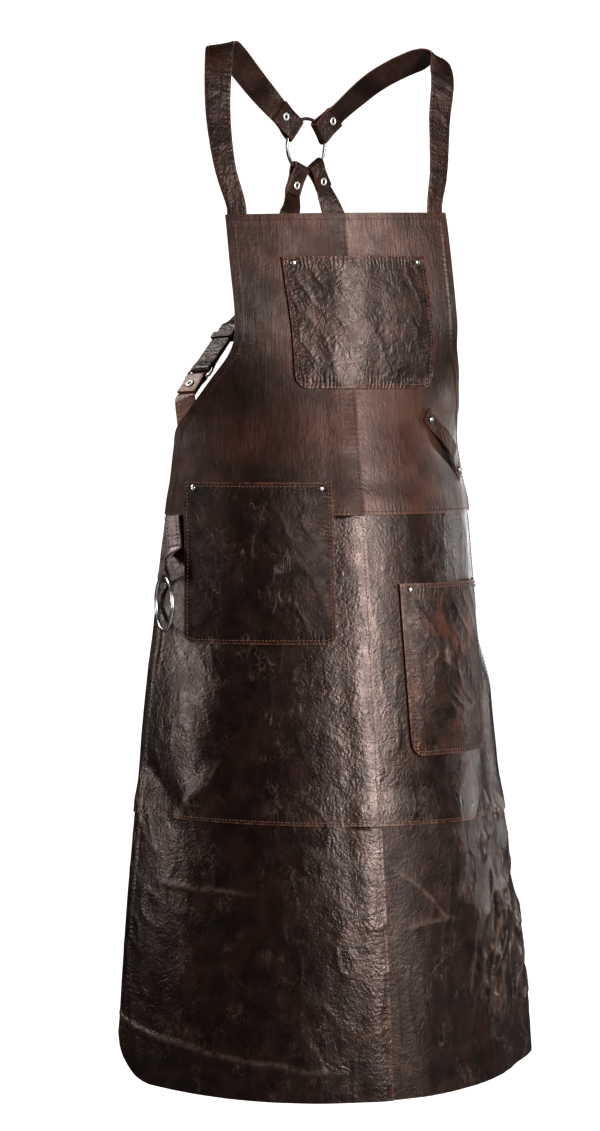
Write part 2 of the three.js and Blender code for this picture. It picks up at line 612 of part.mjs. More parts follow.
// Tool loop: a strip that lies on the bib at its two riveted ends and stands off between them.
const TOOL_STEPS = 14;
const TOOL_RISE = { from: 0.12, to: 0.42 };
const toolLift = (t) => LEATHER + 3 * GAP + LOOP_LEATHER / 2
  + TOOL_LOOP.bulge * smoothstep(Math.min(t, 1 - t), TOOL_RISE.from, TOOL_RISE.to);
const toolPlace = (t) => [lerp(TOOL_LOOP.fromS, TOOL_LOOP.toS, t), lerp(TOOL_LOOP.fromZ, TOOL_LOOP.toZ, t)];
const toolStations = [];
for (let i = 0; i <= TOOL_STEPS; i++) {
  const [s, level] = toolPlace(i / TOOL_STEPS);
  toolStations.push({
    at: apronPoint(s, level, toolLift(i / TOOL_STEPS)), face: apronFace(s, level), width: TOOL_LOOP.width,
  });
}
addPiece('tool_loop', bandBody(toolStations, LOOP_LEATHER), strapFinish);
const toolLength = toolStations[0].at.distanceTo(toolStations[TOOL_STEPS].at);
const toolInset = TOOL_LOOP.rivetInset / toolLength;
for (const [end, t] of [['upper', toolInset], ['lower', 1 - toolInset]]) {
  const [s, level] = toolPlace(t);
  const seat = apronPoint(s, level, toolLift(t) + LOOP_LEATHER / 2 + GAP);
  addRivet(`tool_loop_rivet_${end}`, seat, apronFace(s, level), SMALL_RIVET);
}

// Towel loop: both ends lie on the skirt under the bib's edge, and the fold at the bottom holds the ring.
const towelTurn = degToRad(TOWEL_RING.turn);
const towelAcross = vector(Math.cos(towelTurn), Math.sin(towelTurn), 0);
const towelFace = vector(Math.sin(towelTurn), -Math.cos(towelTurn), 0);
const towelEye = vector(TOWEL_LOOP.eyeX, TOWEL_LOOP.eyeY, TOWEL_LOOP.eyeZ);
const towelFold = foldRound({
  at: towelEye, run: vector(0, 0, 1), face: towelFace, wire: TOWEL_RING.wire + TOWEL_LOOP.eyeSlack, sag: 0,
  leather: LOOP_LEATHER, tail: TOWEL_LOOP.fold, reach: TOWEL_LOOP.fold, width: TOWEL_LOOP.eyeWidth,
});

function towelRun(layer) {
  const level = WAIST - LAP / 2 - TOWEL_TOP;
  return TOWEL_DROPS.map((drop) => {
    const s = -(sectionValue(level, 'halfWidth') - TOWEL_LOOP.inset);
    const lift = LEATHER + 3 * GAP + LOOP_LEATHER / 2 + layer * (LOOP_LEATHER + GAP);
    const face = apronFace(s, level - drop).multiplyScalar(layer ? 1 : -1);
    return { at: apronPoint(s, level - drop, lift), face, width: TOWEL_LOOP.width };
  });
}

const TOWEL_STEPS = 4;
const towelOuter = smoothRun([...towelRun(1), towelFold[0]], TOWEL_STEPS);
const towelInner = smoothRun([towelFold[towelFold.length - 1], ...towelRun(0).reverse()], TOWEL_STEPS);
const towelStations = [...towelOuter, ...towelFold.slice(1, -1), ...towelInner];
addPiece('towel_loop', bandBody(towelStations, LOOP_LEATHER), strapFinish);

// Towel ring, hanging from the eye of its loop
const towelCentre = towelEye.clone().setZ(TOWEL_LOOP.eyeZ - TOWEL_RING.radius);
wireRing('towel_ring', TOWEL_RING.radius, TOWEL_RING.wire, towelCentre, towelAcross, vector(0, 0, 1));

export default apron;
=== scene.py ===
# A long leather work apron in its worn form, dressed for the camera. Sizes are in millimetres until a mesh
# is made. The front faces -Y, +Z is up, and left and right are as seen from the front, so left is -X.
import math

import bpy
import numpy as np
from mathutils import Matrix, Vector


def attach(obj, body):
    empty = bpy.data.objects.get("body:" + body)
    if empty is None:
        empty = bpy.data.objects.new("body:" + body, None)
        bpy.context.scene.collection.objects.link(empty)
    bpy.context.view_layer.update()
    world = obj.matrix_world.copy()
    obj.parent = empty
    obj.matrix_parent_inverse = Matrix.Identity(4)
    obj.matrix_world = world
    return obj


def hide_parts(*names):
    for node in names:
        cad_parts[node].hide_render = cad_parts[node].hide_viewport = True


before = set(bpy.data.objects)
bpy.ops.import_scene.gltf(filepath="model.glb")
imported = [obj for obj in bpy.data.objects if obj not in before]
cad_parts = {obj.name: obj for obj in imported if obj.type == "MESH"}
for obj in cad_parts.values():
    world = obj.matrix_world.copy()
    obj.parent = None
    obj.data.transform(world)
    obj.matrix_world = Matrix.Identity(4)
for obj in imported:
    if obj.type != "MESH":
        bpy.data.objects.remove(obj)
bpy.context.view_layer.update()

# Bib and skirt panels
# Six pieces of dark brown pull-up cowhide. Each left panel laps over the right one at the centre seam, each
# upper panel laps over the one below it, and the free edges are turned in and sewn down.
LEATHER = 1.6
GAP = 0.35
LAYER = LEATHER + GAP
BIB_TOP = -169
WAIST = -474
KNEE = -790
HEM = -1074
LAP = 12
LAP_RAMP = 26
HEM_CORNER = 46

# At each level the apron is an arc of this radius through the centre seam, half_width long to either side.
SECTION_COLUMNS = ("z", "seam_x", "seam_y", "radius", "half_width", "tilt", "rise")
SECTIONS = np.array([
    (-169, -7, -46, 420, 128, 4, 0),
    (-215, -5, -49, 560, 128, 3, 0),
    (-279, -2, -55, 640, 128, 2, 0),
    (-310, -2, -59, 400, 132, 1, 0),
    (-341, -4, -64, 255, 151, 0, 0),
    (-374, -5, -70, 200, 178, 0, 0),
    (-392, -5, -73, 188, 195, 0, 0),
    (-410, -5, -76, 186, 200, 0, 0),
    (-480, -5, -87, 196, 214, 0, 0),
    (-600, -5, -103, 200, 241, 0, 0),
    (-720, -5, -118, 208, 263, -4, 1),
    (-796, -5, -126, 218, 273, -7, 2),
    (-911, -4, -139, 234, 289, -3, 4),
    (-1033, -3, -148, 245, 301, 0, 11),
    (-1074, -2, -150, 247, 304, 0, 16),
], dtype=float)

# Folds of the skirt, from one level to another. Across is a share of the half width, negative to the left.
# Columns: start, end, top_across, bottom_across, width, height.
FOLD_FADE = 70
FOLDS = [
    (-640, -855, 0.97, 0.92, 40, 11),
    (-870, -1130, 0.92, 0.88, 40, 12),
    (-650, -800, 0.80, 0.76, 30, -4),
    (-780, -920, 0.36, 0.42, 32, 5),
    (-860, -980, 0.74, 0.60, 30, 5),
    (-650, -790, -0.66, -0.72, 44, 5),
    (-740, -800, -0.90, -0.86, 32, -4),
]

# Narrow creases that the leather keeps from being folded, with pale worn crests.
# Columns: from_across, from_level, to_across, to_level, width, height.
CREST_WIDTH = 2.0
CREST_WEAR = 0.26
CREASE_SPAN = 250.0
CREASES = [
    (-1.05, -1012, 0.00, -1045, 3.5, 1.1),
    (-0.85, -862, -0.42, -866, 3.0, 0.7),
    (0.345, -803, 0.373, -832, 7.0, 2.0),
    (0.373, -832, 0.344, -880, 6.0, 1.8),
    (0.725, -806, 0.485, -824, 5.0, 1.8),
    (0.92, -850, 0.62, -882, 5.0, 2.2),
    (0.62, -882, 0.66, -922, 4.5, 2.0),
    (0.66, -922, 0.51, -962, 4.5, 2.0),
    (0.51, -962, 0.457, -1004, 4.5, 1.4),
    (0.62, -882, 0.90, -938, 5.0, 1.8),
    (0.86, -905, 0.80, -985, 4.0, 1.6),
    (0.75, -850, 0.70, -905, 5.0, -1.6),
    (0.42, -900, 0.36, -985, 5.0, 0.9),
    (0.06, -842, 0.34, -900, 4.0, 0.6),
    (0.55, -640, 0.70, -760, 12.0, 1.5),
    (-0.62, -735, -0.80, -800, 10.0, 2.0),
    (-0.95, -745, -0.72, -795, 9.0, -1.6),
    (0.10, -900, 0.36, -896, 4.0, 0.6),
]

# The crushed right-hand side of the skirt fades in and out between these places, and the leather is dented a
# little under the towel ring.
CRUMPLE = 2.8
CRUSHED_S = (90, 165)
CRUSHED_BOTTOM = (-1040, -990)
CRUSHED_TOP = (-810, -740)
RING_DENT = {"depth": 2.0, "s": (-205, -180), "level": -590, "reach": 38}


def mix(a, b, t):
    return a + (b - a) * t


def smoothstep(value, low, high):
    t = np.clip((value - low) / (high - low), 0, 1)
    return t * t * (3 - 2 * t)


def section_value(level, column):
    rows = SECTIONS[:, 0]
    values = SECTIONS[:, SECTION_COLUMNS.index(column)]
    count = len(rows)
    after = np.minimum(np.arange(count) + 1, count - 1)
    before = np.maximum(np.arange(count) - 1, 0)
    slopes = (values[after] - values[before]) / (rows[after] - rows[before])
    i = np.clip(np.searchsorted(-rows, -np.asarray(level, float)) - 1, 0, count - 2)
    span = rows[i + 1] - rows[i]
    t = np.clip((level - rows[i]) / span, 0, 1)
    start_slope = slopes[i] * span
    end_slope = slopes[i + 1] * span
    change = values[i + 1] - values[i]
    bend = 3 * change - 2 * start_slope - end_slope
    twist = start_slope + end_slope - 2 * change
    return values[i] + t * (start_slope + t * (bend + t * twist))


def soft_noise(x, y, seed):
    """Smooth noise from -1 to 1 over a lattice of fixed random values."""
    size = 97
    lattice = np.random.default_rng(seed).uniform(-1, 1, (size, size))
    i = np.floor(x).astype(int)
    j = np.floor(y).astype(int)
    u = smoothstep(x - i, 0, 1)
    v = smoothstep(y - j, 0, 1)
    near = mix(lattice[i % size, j % size], lattice[(i + 1) % size, j % size], u)
    far = mix(lattice[i % size, (j + 1) % size], lattice[(i + 1) % size, (j + 1) % size], u)
    return mix(near, far, v)


def fold_height(across, level, half_width):
    height = np.zeros(np.broadcast(across, level).shape)
    for start, end, top_across, bottom_across, width, rise in FOLDS:
        centre = mix(top_across, bottom_across, np.clip((start - level) / (start - end), 0, 1))
        distance = (across - centre) * half_width / width
        starts = 1 - smoothstep(level, start - FOLD_FADE / 2, start + FOLD_FADE / 2)
        stays = smoothstep(level, end - FOLD_FADE / 2, end + FOLD_FADE / 2)
        height = height + rise * np.exp(-distance * distance) * starts * stays
    return height


def crease_height(across, level, half_width):
    """The height of the kept creases, and how near each place is to a crest."""
    height = np.zeros(np.broadcast(across, level).shape)
    crest = np.zeros_like(height)
    for from_across, from_level, to_across, to_level, width, rise in CREASES:
        run = np.array([(to_across - from_across) * CREASE_SPAN, to_level - from_level])
        length = np.hypot(*run)
        run /= length
        dx = (across - from_across) * half_width
        dz = level - from_level
        along = (dx * run[0] + dz * run[1]) / length
        waver = 0.6 * width * soft_noise(along * length / 25, along * 0 + width, 31)
        off = (dx * -run[1] + dz * run[0] + waver) / width
        fade = smoothstep(along, -0.15, 0.15) * (1 - smoothstep(along, 0.8, 1.1))
        height = height + rise * np.exp(-off * off) * fade
        if rise > 0:
            crest = np.maximum(crest, np.exp(-(off * width / CREST_WIDTH) ** 2) * fade)
    return height, crest


def crumple(s, level):
    """The crushed right-hand side of the skirt: its height, and how near each place is to a crest."""
    warp = 9 * soft_noise(s / 40, level / 40, 13)
    crushed = smoothstep(s, *CRUSHED_S) * smoothstep(level, *CRUSHED_BOTTOM)
    crushed = crushed * (1 - smoothstep(level, *CRUSHED_TOP))
    crests = 1 - np.abs(soft_noise((s + warp - 0.3 * level) / 15, (level + 0.5 * s + warp) / 34, 15))
    return CRUMPLE * crushed * (crests ** 3 - 0.3), crushed * smoothstep(crests, 0.72, 0.96)


def drape(s, level):
    """Soft waviness of worn leather: little on the bib, more on the skirt and most near the hem."""
    slack = 0.25 + 0.5 * (1 - smoothstep(level, -560, -430))
    slack = slack + 0.35 * (1 - smoothstep(level, -1000, -760))
    broad = 0.9 * soft_noise(s / 48, level / 130, 11) + 0.45 * soft_noise(s / 21, level / 52, 12)
    warp = 9 * soft_noise(s / 40, level / 40, 13)
    ridge = 1 - np.abs(soft_noise((s + warp) / 17, (level + 0.6 * s) / 40, 14))
    from_ring = (level - RING_DENT["level"]) / RING_DENT["reach"]
    dent = RING_DENT["depth"] * (1 - smoothstep(s, *RING_DENT["s"])) * np.exp(-from_ring ** 2)
    return slack * (broad + 0.55 * ridge ** 5) + crumple(s, level)[0] - dent


def corner_rise(s, level, half_width):
    into = np.clip(np.abs(s) - (half_width - HEM_CORNER), 0, HEM_CORNER)
    rise = HEM_CORNER - np.sqrt(HEM_CORNER ** 2 - into ** 2)
    return rise * np.clip((KNEE - level) / (KNEE - HEM), 0, 1) ** 6


def apron_point(s, level, out):
    """A point of the apron: s along the arc from the centre seam, out from its inner face."""
    s, level, out = np.broadcast_arrays(*(np.asarray(a, float) for a in (s, level, out)))
    radius = section_value(level, "radius")
    half_width = section_value(level, "half_width")
    across = s / half_width
    reach = radius + out + fold_height(across, level, half_width)
    reach = reach + crease_height(across, level, half_width)[0] + drape(s, level)
    turn = s / radius
    rise = section_value(level, "tilt") * across + section_value(level, "rise") * across ** 2
    return np.stack([
        section_value(level, "seam_x") + reach * np.sin(turn),
        section_value(level, "seam_y") + radius - reach * np.cos(turn),
        level + rise + corner_rise(s, level, half_width),
    ], axis=-1)


def apron_face(s, level):
    turn = s / section_value(level, "radius")
    return np.stack([np.sin(turn), -np.cos(turn), np.zeros_like(turn)], axis=-1)


def between(keys, step):
    """The key places with more between them, no further apart than step."""
    places = [keys[0]]
    for start, end in zip(keys, keys[1:]):
        count = max(1, math.ceil(abs(end - start) / step))
        places += [mix(start, end, (i + 1) / count) for i in range(count)]
    return np.array(places, float)


def add_object(name, data):
    made = bpy.data.objects.new(name, data)
    bpy.context.scene.collection.objects.link(made)
    return made


def settle(piece, slot, *nodes, body="apron"):
    """Fixes a finished piece to its body and hides the solids that it stands for. Its slot, the finish, is
    not used.
    """
    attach(piece, body)
    if nodes:
        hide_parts(*nodes)


def wall(name, outer, inner, uv, marks, materials):
    """A closed leather wall over a grid: grain side, flesh side and raw rim, each with its own material."""
    rows, columns = outer.shape[:2]
    corners = np.concatenate([outer.reshape(-1, 3), inner.reshape(-1, 3)]) / 1000
    grid = np.arange(rows * columns).reshape(rows, columns)
    top = np.stack([grid[:-1, :-1], grid[1:, :-1], grid[1:, 1:], grid[:-1, 1:]], -1).reshape(-1, 4)
    under = top[:, ::-1] + rows * columns
    edge = np.concatenate([grid[0, ::-1], grid[1:, 0], grid[-1, 1:], grid[-2:0:-1, -1]])
    ahead = np.roll(edge, -1)
    rim = np.stack([ahead, edge, edge + rows * columns, ahead + rows * columns], -1)
    faces = np.concatenate([top, under, rim])
    mesh = bpy.data.meshes.new(name)
    mesh.from_pydata(corners.tolist(), [], faces.tolist())
    finish = np.repeat([0, 1, 2], [len(top), len(under), len(rim)])
    mesh.polygons.foreach_set("material_index", finish)
    mesh.polygons.foreach_set("use_smooth", np.ones(len(faces), bool))
    both = np.concatenate([uv.reshape(-1, 2)] * 2) / 1000
    layer = mesh.uv_layers.new(name="pattern")
    layer.data.foreach_set("uv", both[faces.reshape(-1)].reshape(-1))
    for key, values in marks.items():
        mark = mesh.attributes.new(key, "FLOAT", "POINT")
        mark.data.foreach_set("value", np.concatenate([values.reshape(-1)] * 2).astype(np.float32))
    for material in materials:
        mesh.materials.append(material)
    mesh.set_sharp_from_angle(angle=math.radians(50))
    mesh.update()
    return add_object(name, mesh)


def linear(colour):
    """A colour given as sRGB hex, in linear light."""
    parts = [int(colour[i:i + 2], 16) / 255 for i in (1, 3, 5)]
    return [p / 12.92 if p <= 0.04045 else ((p + 0.055) / 1.055) ** 2.4 for p in parts] + [1]


def add_node(tree, kind, inputs=None, output=0, **settings):
    """Adds one node with its settings, links or sets its inputs, and gives back one of its outputs."""
    made = tree.nodes.new(kind)
    for key, value in settings.items():
        setattr(made, key, value)
    for key, value in (inputs or {}).items():
        if isinstance(value, bpy.types.NodeSocket):
            tree.links.new(value, made.inputs[key])
        else:
            made.inputs[key].default_value = value
    return made.outputs[output] if made.outputs else None


def new_material(name):
    material = bpy.data.materials.new(name)
    material.use_nodes = True
    material.node_tree.nodes.clear()
    return material, material.node_tree


NOISE = "ShaderNodeTexNoise"
RANGE = "ShaderNodeMapRange"
MATH = "ShaderNodeMath"
MIX = "ShaderNodeMix"
MARK = "ShaderNodeAttribute"
WAX_TINT = (1.0, 0.79, 0.72, 1)
DULLED_ROUGH = 0.1


def grain_leather(name, look):
    """Pull-up cowhide, drum dyed and waxed. Rubbed places turn lighter and redder, old folds show as thin
    pale lines, and the wax gives a soft gloss that breaks up over the wrinkled grain. Real grain is about
    1 mm across, which is too fine to show here, so it is drawn two to three times as coarse."""
    material, tree = new_material(name)
    place = add_node(tree, "ShaderNodeTexCoord", output="Object")
    tall = add_node(tree, "ShaderNodeMapping", {"Vector": place, "Scale": (1, 1, 0.55)})
    streaks = add_node(tree, "ShaderNodeMapping", {"Vector": place, "Scale": (1, 1, 0.07)})
    drawn = add_node(tree, "ShaderNodeMapping", {
        "Vector": place, "Rotation": (0, 0.3, 0), "Scale": (1, 1, 0.3),
    })

    # soft clouds, each spread between a low and a high value of its noise
    shares = {}
    for key, where, size, detail, low, high in (
        ("mottle", place, look["mottle_mm"], 5, 0.36, 0.66),
        ("rubbed", place, look["rub_mm"], 3, 0.52, 0.72),
        ("fibre", streaks, look["fibre_mm"], 3, 0.38, 0.62),
        ("soft", tall, look["soft_mm"], 2, 0.0, 1.0),
        ("matt", place, look["mottle_mm"] * 0.6, 4, 0.3, 0.7),
        ("frayed", place, 6, 2, 0.25, 0.6),
        ("uneven", place, 16, 1, 0.30, 0.70),
        ("short", place, 30, 3, 0.50, 0.66),
    ):
        noise = add_node(tree, NOISE, {"Vector": where, "Scale": 1000 / size, "Detail": detail})
        shares[key] = add_node(tree, RANGE, {
            "Value": noise, "From Min": low, "From Max": high,
        }, interpolation_type="SMOOTHSTEP")

    # wrinkles and scratches: the sharp crests of a ridged noise
    ridges = {}
    for key, where, size, detail in (
        ("scratch", drawn, look["scratch_mm"], 0.0),
        ("wrinkle", place, look["wrinkle_mm"], 3.0),
    ):
        ridges[key] = add_node(tree, NOISE, {
            "Vector": where, "Scale": 1000 / size, "Detail": detail, "Roughness": 0.6, "Lacunarity": 2.3,
            "Offset": 1.0, "Gain": 1.8, "Distortion": 0.6,
        }, noise_type="RIDGED_MULTIFRACTAL", normalize=False)
    # old folds: the jagged line where a rough noise passes its middle value
    fold = add_node(tree, NOISE, {"Vector": drawn, "Scale": 1000 / look["crease_mm"], "Detail": 3.0})
    fold = add_node(tree, MATH, {0: fold, 1: 0.5}, operation="SUBTRACT")
    fold = add_node(tree, MATH, {0: fold}, operation="ABSOLUTE")
    fold = add_node(tree, RANGE, {"Value": fold, "From Min": 0.010, "From Max": 0.0})
    fold_lines = add_node(tree, MATH, {0: fold, 1: shares["short"]}, operation="MULTIPLY")
    crackle = add_node(tree, RANGE, {"Value": ridges["wrinkle"], "From Min": 1.35, "From Max": 1.9})
    crackle = add_node(tree, MATH, {0: crackle, 1: shares["short"]}, operation="MULTIPLY")
    scratches = add_node(tree, RANGE, {"Value": ridges["scratch"], "From Min": 0.90, "From Max": 1.0})
    scratches = add_node(tree, MATH, {0: scratches, 1: shares["short"]}, operation="MULTIPLY")
    scratches = add_node(tree, MATH, {0: scratches, 1: shares["uneven"]}, operation="MULTIPLY")

    # colour, one layer over another
    rubbed = add_node(tree, MATH, {0: shares["rubbed"], 1: look["rub"]}, operation="MULTIPLY")
    warm_stain = add_node(tree, MARK, output="Fac", attribute_name="warm_stain")
    worn_edge = add_node(tree, MARK, output="Fac", attribute_name="worn_edge")
    worn_crest = add_node(tree, MARK, output="Fac", attribute_name="worn_crest")
    colour = linear(look["dark"])
    for share, tint in (
        (shares["mottle"], "brown"),
        (add_node(tree, MATH, {0: rubbed, 1: warm_stain}, operation="MAXIMUM"), "red"),
        (add_node(tree, RANGE, {"Value": shares["fibre"], "To Min": look["fibre"], "To Max": 0.0}), "dark"),
        # darker patches from a point attribute: on the bib partly real stains, partly painted shade
        (add_node(tree, MARK, output="Fac", attribute_name="stain_and_painted_shade"), "stain_and_shade"),
        (add_node(tree, MATH, {0: worn_edge, 1: shares["frayed"]}, operation="MULTIPLY"), "edge"),
        (add_node(tree, MATH, {0: worn_crest, 1: shares["frayed"]}, operation="MULTIPLY"), "pale"),
        (add_node(tree, MATH, {0: fold_lines, 1: look["crease"]}, operation="MULTIPLY"), "pale"),
        (add_node(tree, MATH, {0: scratches, 1: look["scratch"]}, operation="MULTIPLY"), "pale"),
        (add_node(tree, MATH, {0: crackle, 1: look["crackle"]}, operation="MULTIPLY"), "pale"),
    ):
        colour = add_node(tree, MIX, {0: share, 6: colour, 7: linear(look[tint])}, 2, data_type="RGBA")

    # relief in metres: pebbled grain, fibres, soft waves, sharp wrinkles, and puckers drawn in by the seams
    pebble = add_node(tree, "ShaderNodeTexVoronoi", {
        "Vector": place, "Scale": 1000 / look["pebble_mm"],
    }, feature="SMOOTH_F1")
    height = 0.0
    for pattern, key in (
        (pebble, "pebble"), (shares["fibre"], "fibre_relief"), (shares["soft"], "soft"),
        (ridges["wrinkle"], "wrinkle"), (fold_lines, "crease_relief"),
    ):
        sign = 1 if key in ("fibre_relief", "soft") else -1
        height = add_node(
            tree, MATH, {0: pattern, 1: sign * look[key] / 1000, 2: height}, operation="MULTIPLY_ADD",
        )
    seams = add_node(tree, "ShaderNodeUVMap", uv_map="pattern")
    seams = add_node(tree, "ShaderNodeSeparateXYZ", {0: seams}).node.outputs
    stray = add_node(tree, NOISE, {"Vector": place, "Scale": 1000 / 11, "Detail": 2.0})
    stray = add_node(tree, MATH, {0: stray, 1: 11.0}, operation="MULTIPLY")
    for along, key in ((seams[0], "pucker_u"), (seams[1], "pucker_v")):
        phase = {0: along, 1: 2 * math.pi * 1000 / look["pucker_mm"], 2: stray}
        wave = add_node(tree, MATH, phase, operation="MULTIPLY_ADD")
        wave = add_node(tree, MATH, {0: wave}, operation="SINE")
        near_seam = add_node(tree, MARK, output="Fac", attribute_name=key)
        depth = add_node(tree, MATH, {0: near_seam, 1: shares["uneven"]}, operation="MULTIPLY")
        depth = add_node(tree, MATH, {0: depth, 1: look["pucker"] / 1000}, operation="MULTIPLY")
        height = add_node(tree, MATH, {0: wave, 1: depth, 2: height}, operation="MULTIPLY_ADD")
    bump = add_node(tree, "ShaderNodeBump", {"Strength": 1.0, "Distance": 1.0, "Height": height})

    glossiest, dullest = look["rough"]
    rough = add_node(tree, RANGE, {"Value": shares["matt"], "To Min": glossiest, "To Max": dullest})
    dulled = add_node(tree, MARK, output="Fac", attribute_name="dulled")
    rough = add_node(tree, MATH, {0: dulled, 1: DULLED_ROUGH, 2: rough}, operation="MULTIPLY_ADD")
    shader = add_node(tree, "ShaderNodeBsdfPrincipled", {
        "Base Color": colour, "Roughness": rough, "IOR": 1.5, "Normal": bump,
        "Specular IOR Level": look["shine"], "Specular Tint": WAX_TINT,
    })
    add_node(tree, "ShaderNodeOutputMaterial", {0: shader})
    return material


bib_look = {
    "dark": "#281b16", "brown": "#4a3229", "red": "#5c382b", "stain_and_shade": "#100a08", "pale": "#6a5046",
    "edge": "#5c3c30", "mottle_mm": 32, "rub_mm": 55, "rub": 0.6, "fibre_mm": 2.4, "fibre": 0.6,
    "fibre_relief": 0.08, "crease_mm": 70, "crease": 0.15, "crease_relief": 0.05, "pebble_mm": 2.8,
    "pebble": 0.14, "soft_mm": 22, "soft": 0.4, "wrinkle_mm": 9, "wrinkle": 0.05, "crackle": 0.06,
    "pucker_mm": 5.2, "pucker": 0.08, "scratch_mm": 9, "scratch": 0.12, "rough": (0.42, 0.56),
    "shine": 0.32,
}
skirt_look = {
    "dark": "#19110e", "brown": "#2a1b16", "red": "#3c241b", "stain_and_shade": "#110b0a", "pale": "#8c7467",
    "edge": "#654538", "mottle_mm": 26, "rub_mm": 34, "rub": 0.4, "fibre_mm": 3.0, "fibre": 0.2,
    "fibre_relief": 0.0, "crease_mm": 36, "crease": 0.18, "crease_relief": 0.10, "pebble_mm": 2.8,
    "pebble": 0.22, "soft_mm": 26, "soft": 0.5, "wrinkle_mm": 9, "wrinkle": 0.09, "crackle": 0.16,
    "pucker_mm": 5.6, "pucker": 0.05, "scratch_mm": 11, "scratch": 0.3, "rough": (0.27, 0.38),
    "shine": 0.5,
}
bib_leather = grain_leather("matt_pull_up_cowhide", bib_look)
rubbed_look = {**bib_look, "mottle_mm": 42, "fibre": 0.3, "rough": (0.34, 0.48), "shine": 0.46}
rubbed_leather = grain_leather("rubbed_pull_up_cowhide", rubbed_look)
skirt_leather = grain_leather("waxed_pull_up_cowhide", skirt_look)
dull_look = {**skirt_look, "rough": (0.29, 0.41), "shine": 0.4}
dull_leather = grain_leather("dull_pull_up_cowhide", dull_look)


def plain_leather(name, colour, other, size, relief, rough):
    """Cut or unfinished leather: open brown fibres with no wax, so it is dull and slightly cloudy."""
    material, tree = new_material(name)
    place = add_node(tree, "ShaderNodeTexCoord", output="Object")
    fibre = add_node(tree, NOISE, {"Vector": place, "Scale": 1000 / size, "Detail": 4.0})
    tint = add_node(tree, MIX, {0: fibre, 6: linear(colour), 7: linear(other)}, 2, data_type="RGBA")
    bump = add_node(tree, "ShaderNodeBump", {"Strength": 1.0, "Distance": relief / 1000, "Height": fibre})
    shader = add_node(tree, "ShaderNodeBsdfPrincipled", {
        "Base Color": tint, "Roughness": rough, "IOR": 1.45, "Normal": bump,
    })
    add_node(tree, "ShaderNodeOutputMaterial", {0: shader})
    return material


flesh_side = plain_leather("suede_flesh_side", "#3a271f", "#55392c", 3.0, 0.3, 0.9)
raw_edge = plain_leather("cut_leather_edge", "#5a3427", "#7d4c38", 1.5, 0.1, 0.7)

# Stains, painted shade and rubbed places of the bib, placed by arc length and level. The dark patches are
# partly real stains and partly painted shade, strongest at the armholes and along the right-hand edge.
# Columns: s, level, reach_s, reach_level, dark, warm.
STAINS_AND_SHADE = [
    (-112, -268, 34, 46, 0.85, 0.0),
    (-128, -340, 36, 60, 0.75, 0.0),
    (-70, -362, 46, 22, 0.45, 0.0),
    (-96, -196, 40, 22, 0.35, 0.0),
    (104, -190, 34, 18, 0.45, 0.0),
    (118, -275, 28, 70, 0.95, 0.0),
    (120, -345, 22, 24, 0.70, 0.0),
    (112, -384, 24, 22, 0.10, 0.60),
    (66, -372, 30, 18, 0.0, 0.40),
    (-30, -392, 50, 30, 0.0, 0.45),
    (-120, -402, 42, 20, 0.0, 0.5),
    (-92, -440, 70, 20, 0.55, 0.0),
    (60, -404, 34, 28, 0.0, 0.4),
    (40, -455, 46, 16, 0.45, 0.0),
    (150, -430, 30, 40, 0.65, 0.0),
    (-80, -230, 50, 40, 0.0, 0.25),
    (108, -222, 24, 22, 0.0, 0.35),
]


def stains_and_shade(s, level):
    dark = np.zeros(np.broadcast(s, level).shape)
    warm = dark.copy()
    for middle, height, reach_s, reach_level, dark_share, warm_share in STAINS_AND_SHADE:
        near = np.exp(-((s - middle) / reach_s) ** 2 - ((level - height) / reach_level) ** 2)
        dark = np.maximum(dark, dark_share * near)
        warm = np.maximum(warm, warm_share * near)
    return dark, warm


SIDES = (("left", -1), ("right", 1))
PANEL_STEP = 2.2
TURNED_HEM = 8.5
TURNED_LIFT = 0.6
WORN_EDGE = 2.6
DULLED_S = (70, 170)
SEAM_PUCKER = {"bib": 9, "skirt_upper": 14, "skirt_lower": 14}
panels = [
    {"name": "bib", "top": BIB_TOP, "bottom": WAIST, "tucked": False, "lapped": True,
     "leather": (bib_leather, rubbed_leather)},
    {"name": "skirt_upper", "top": WAIST, "bottom": KNEE, "tucked": True, "lapped": True,
     "leather": (skirt_leather, skirt_leather)},
    {"name": "skirt_lower", "top": KNEE, "bottom": HEM, "tucked": True, "lapped": False,
     "leather": (skirt_leather, dull_leather)},
]


def hem_lift(from_edge):
    return TURNED_LIFT * (1 - smoothstep(from_edge, TURNED_HEM - 1, TURNED_HEM + 1.5))


def near_line(distance, reach):
    return np.exp(-(distance / reach) ** 2)


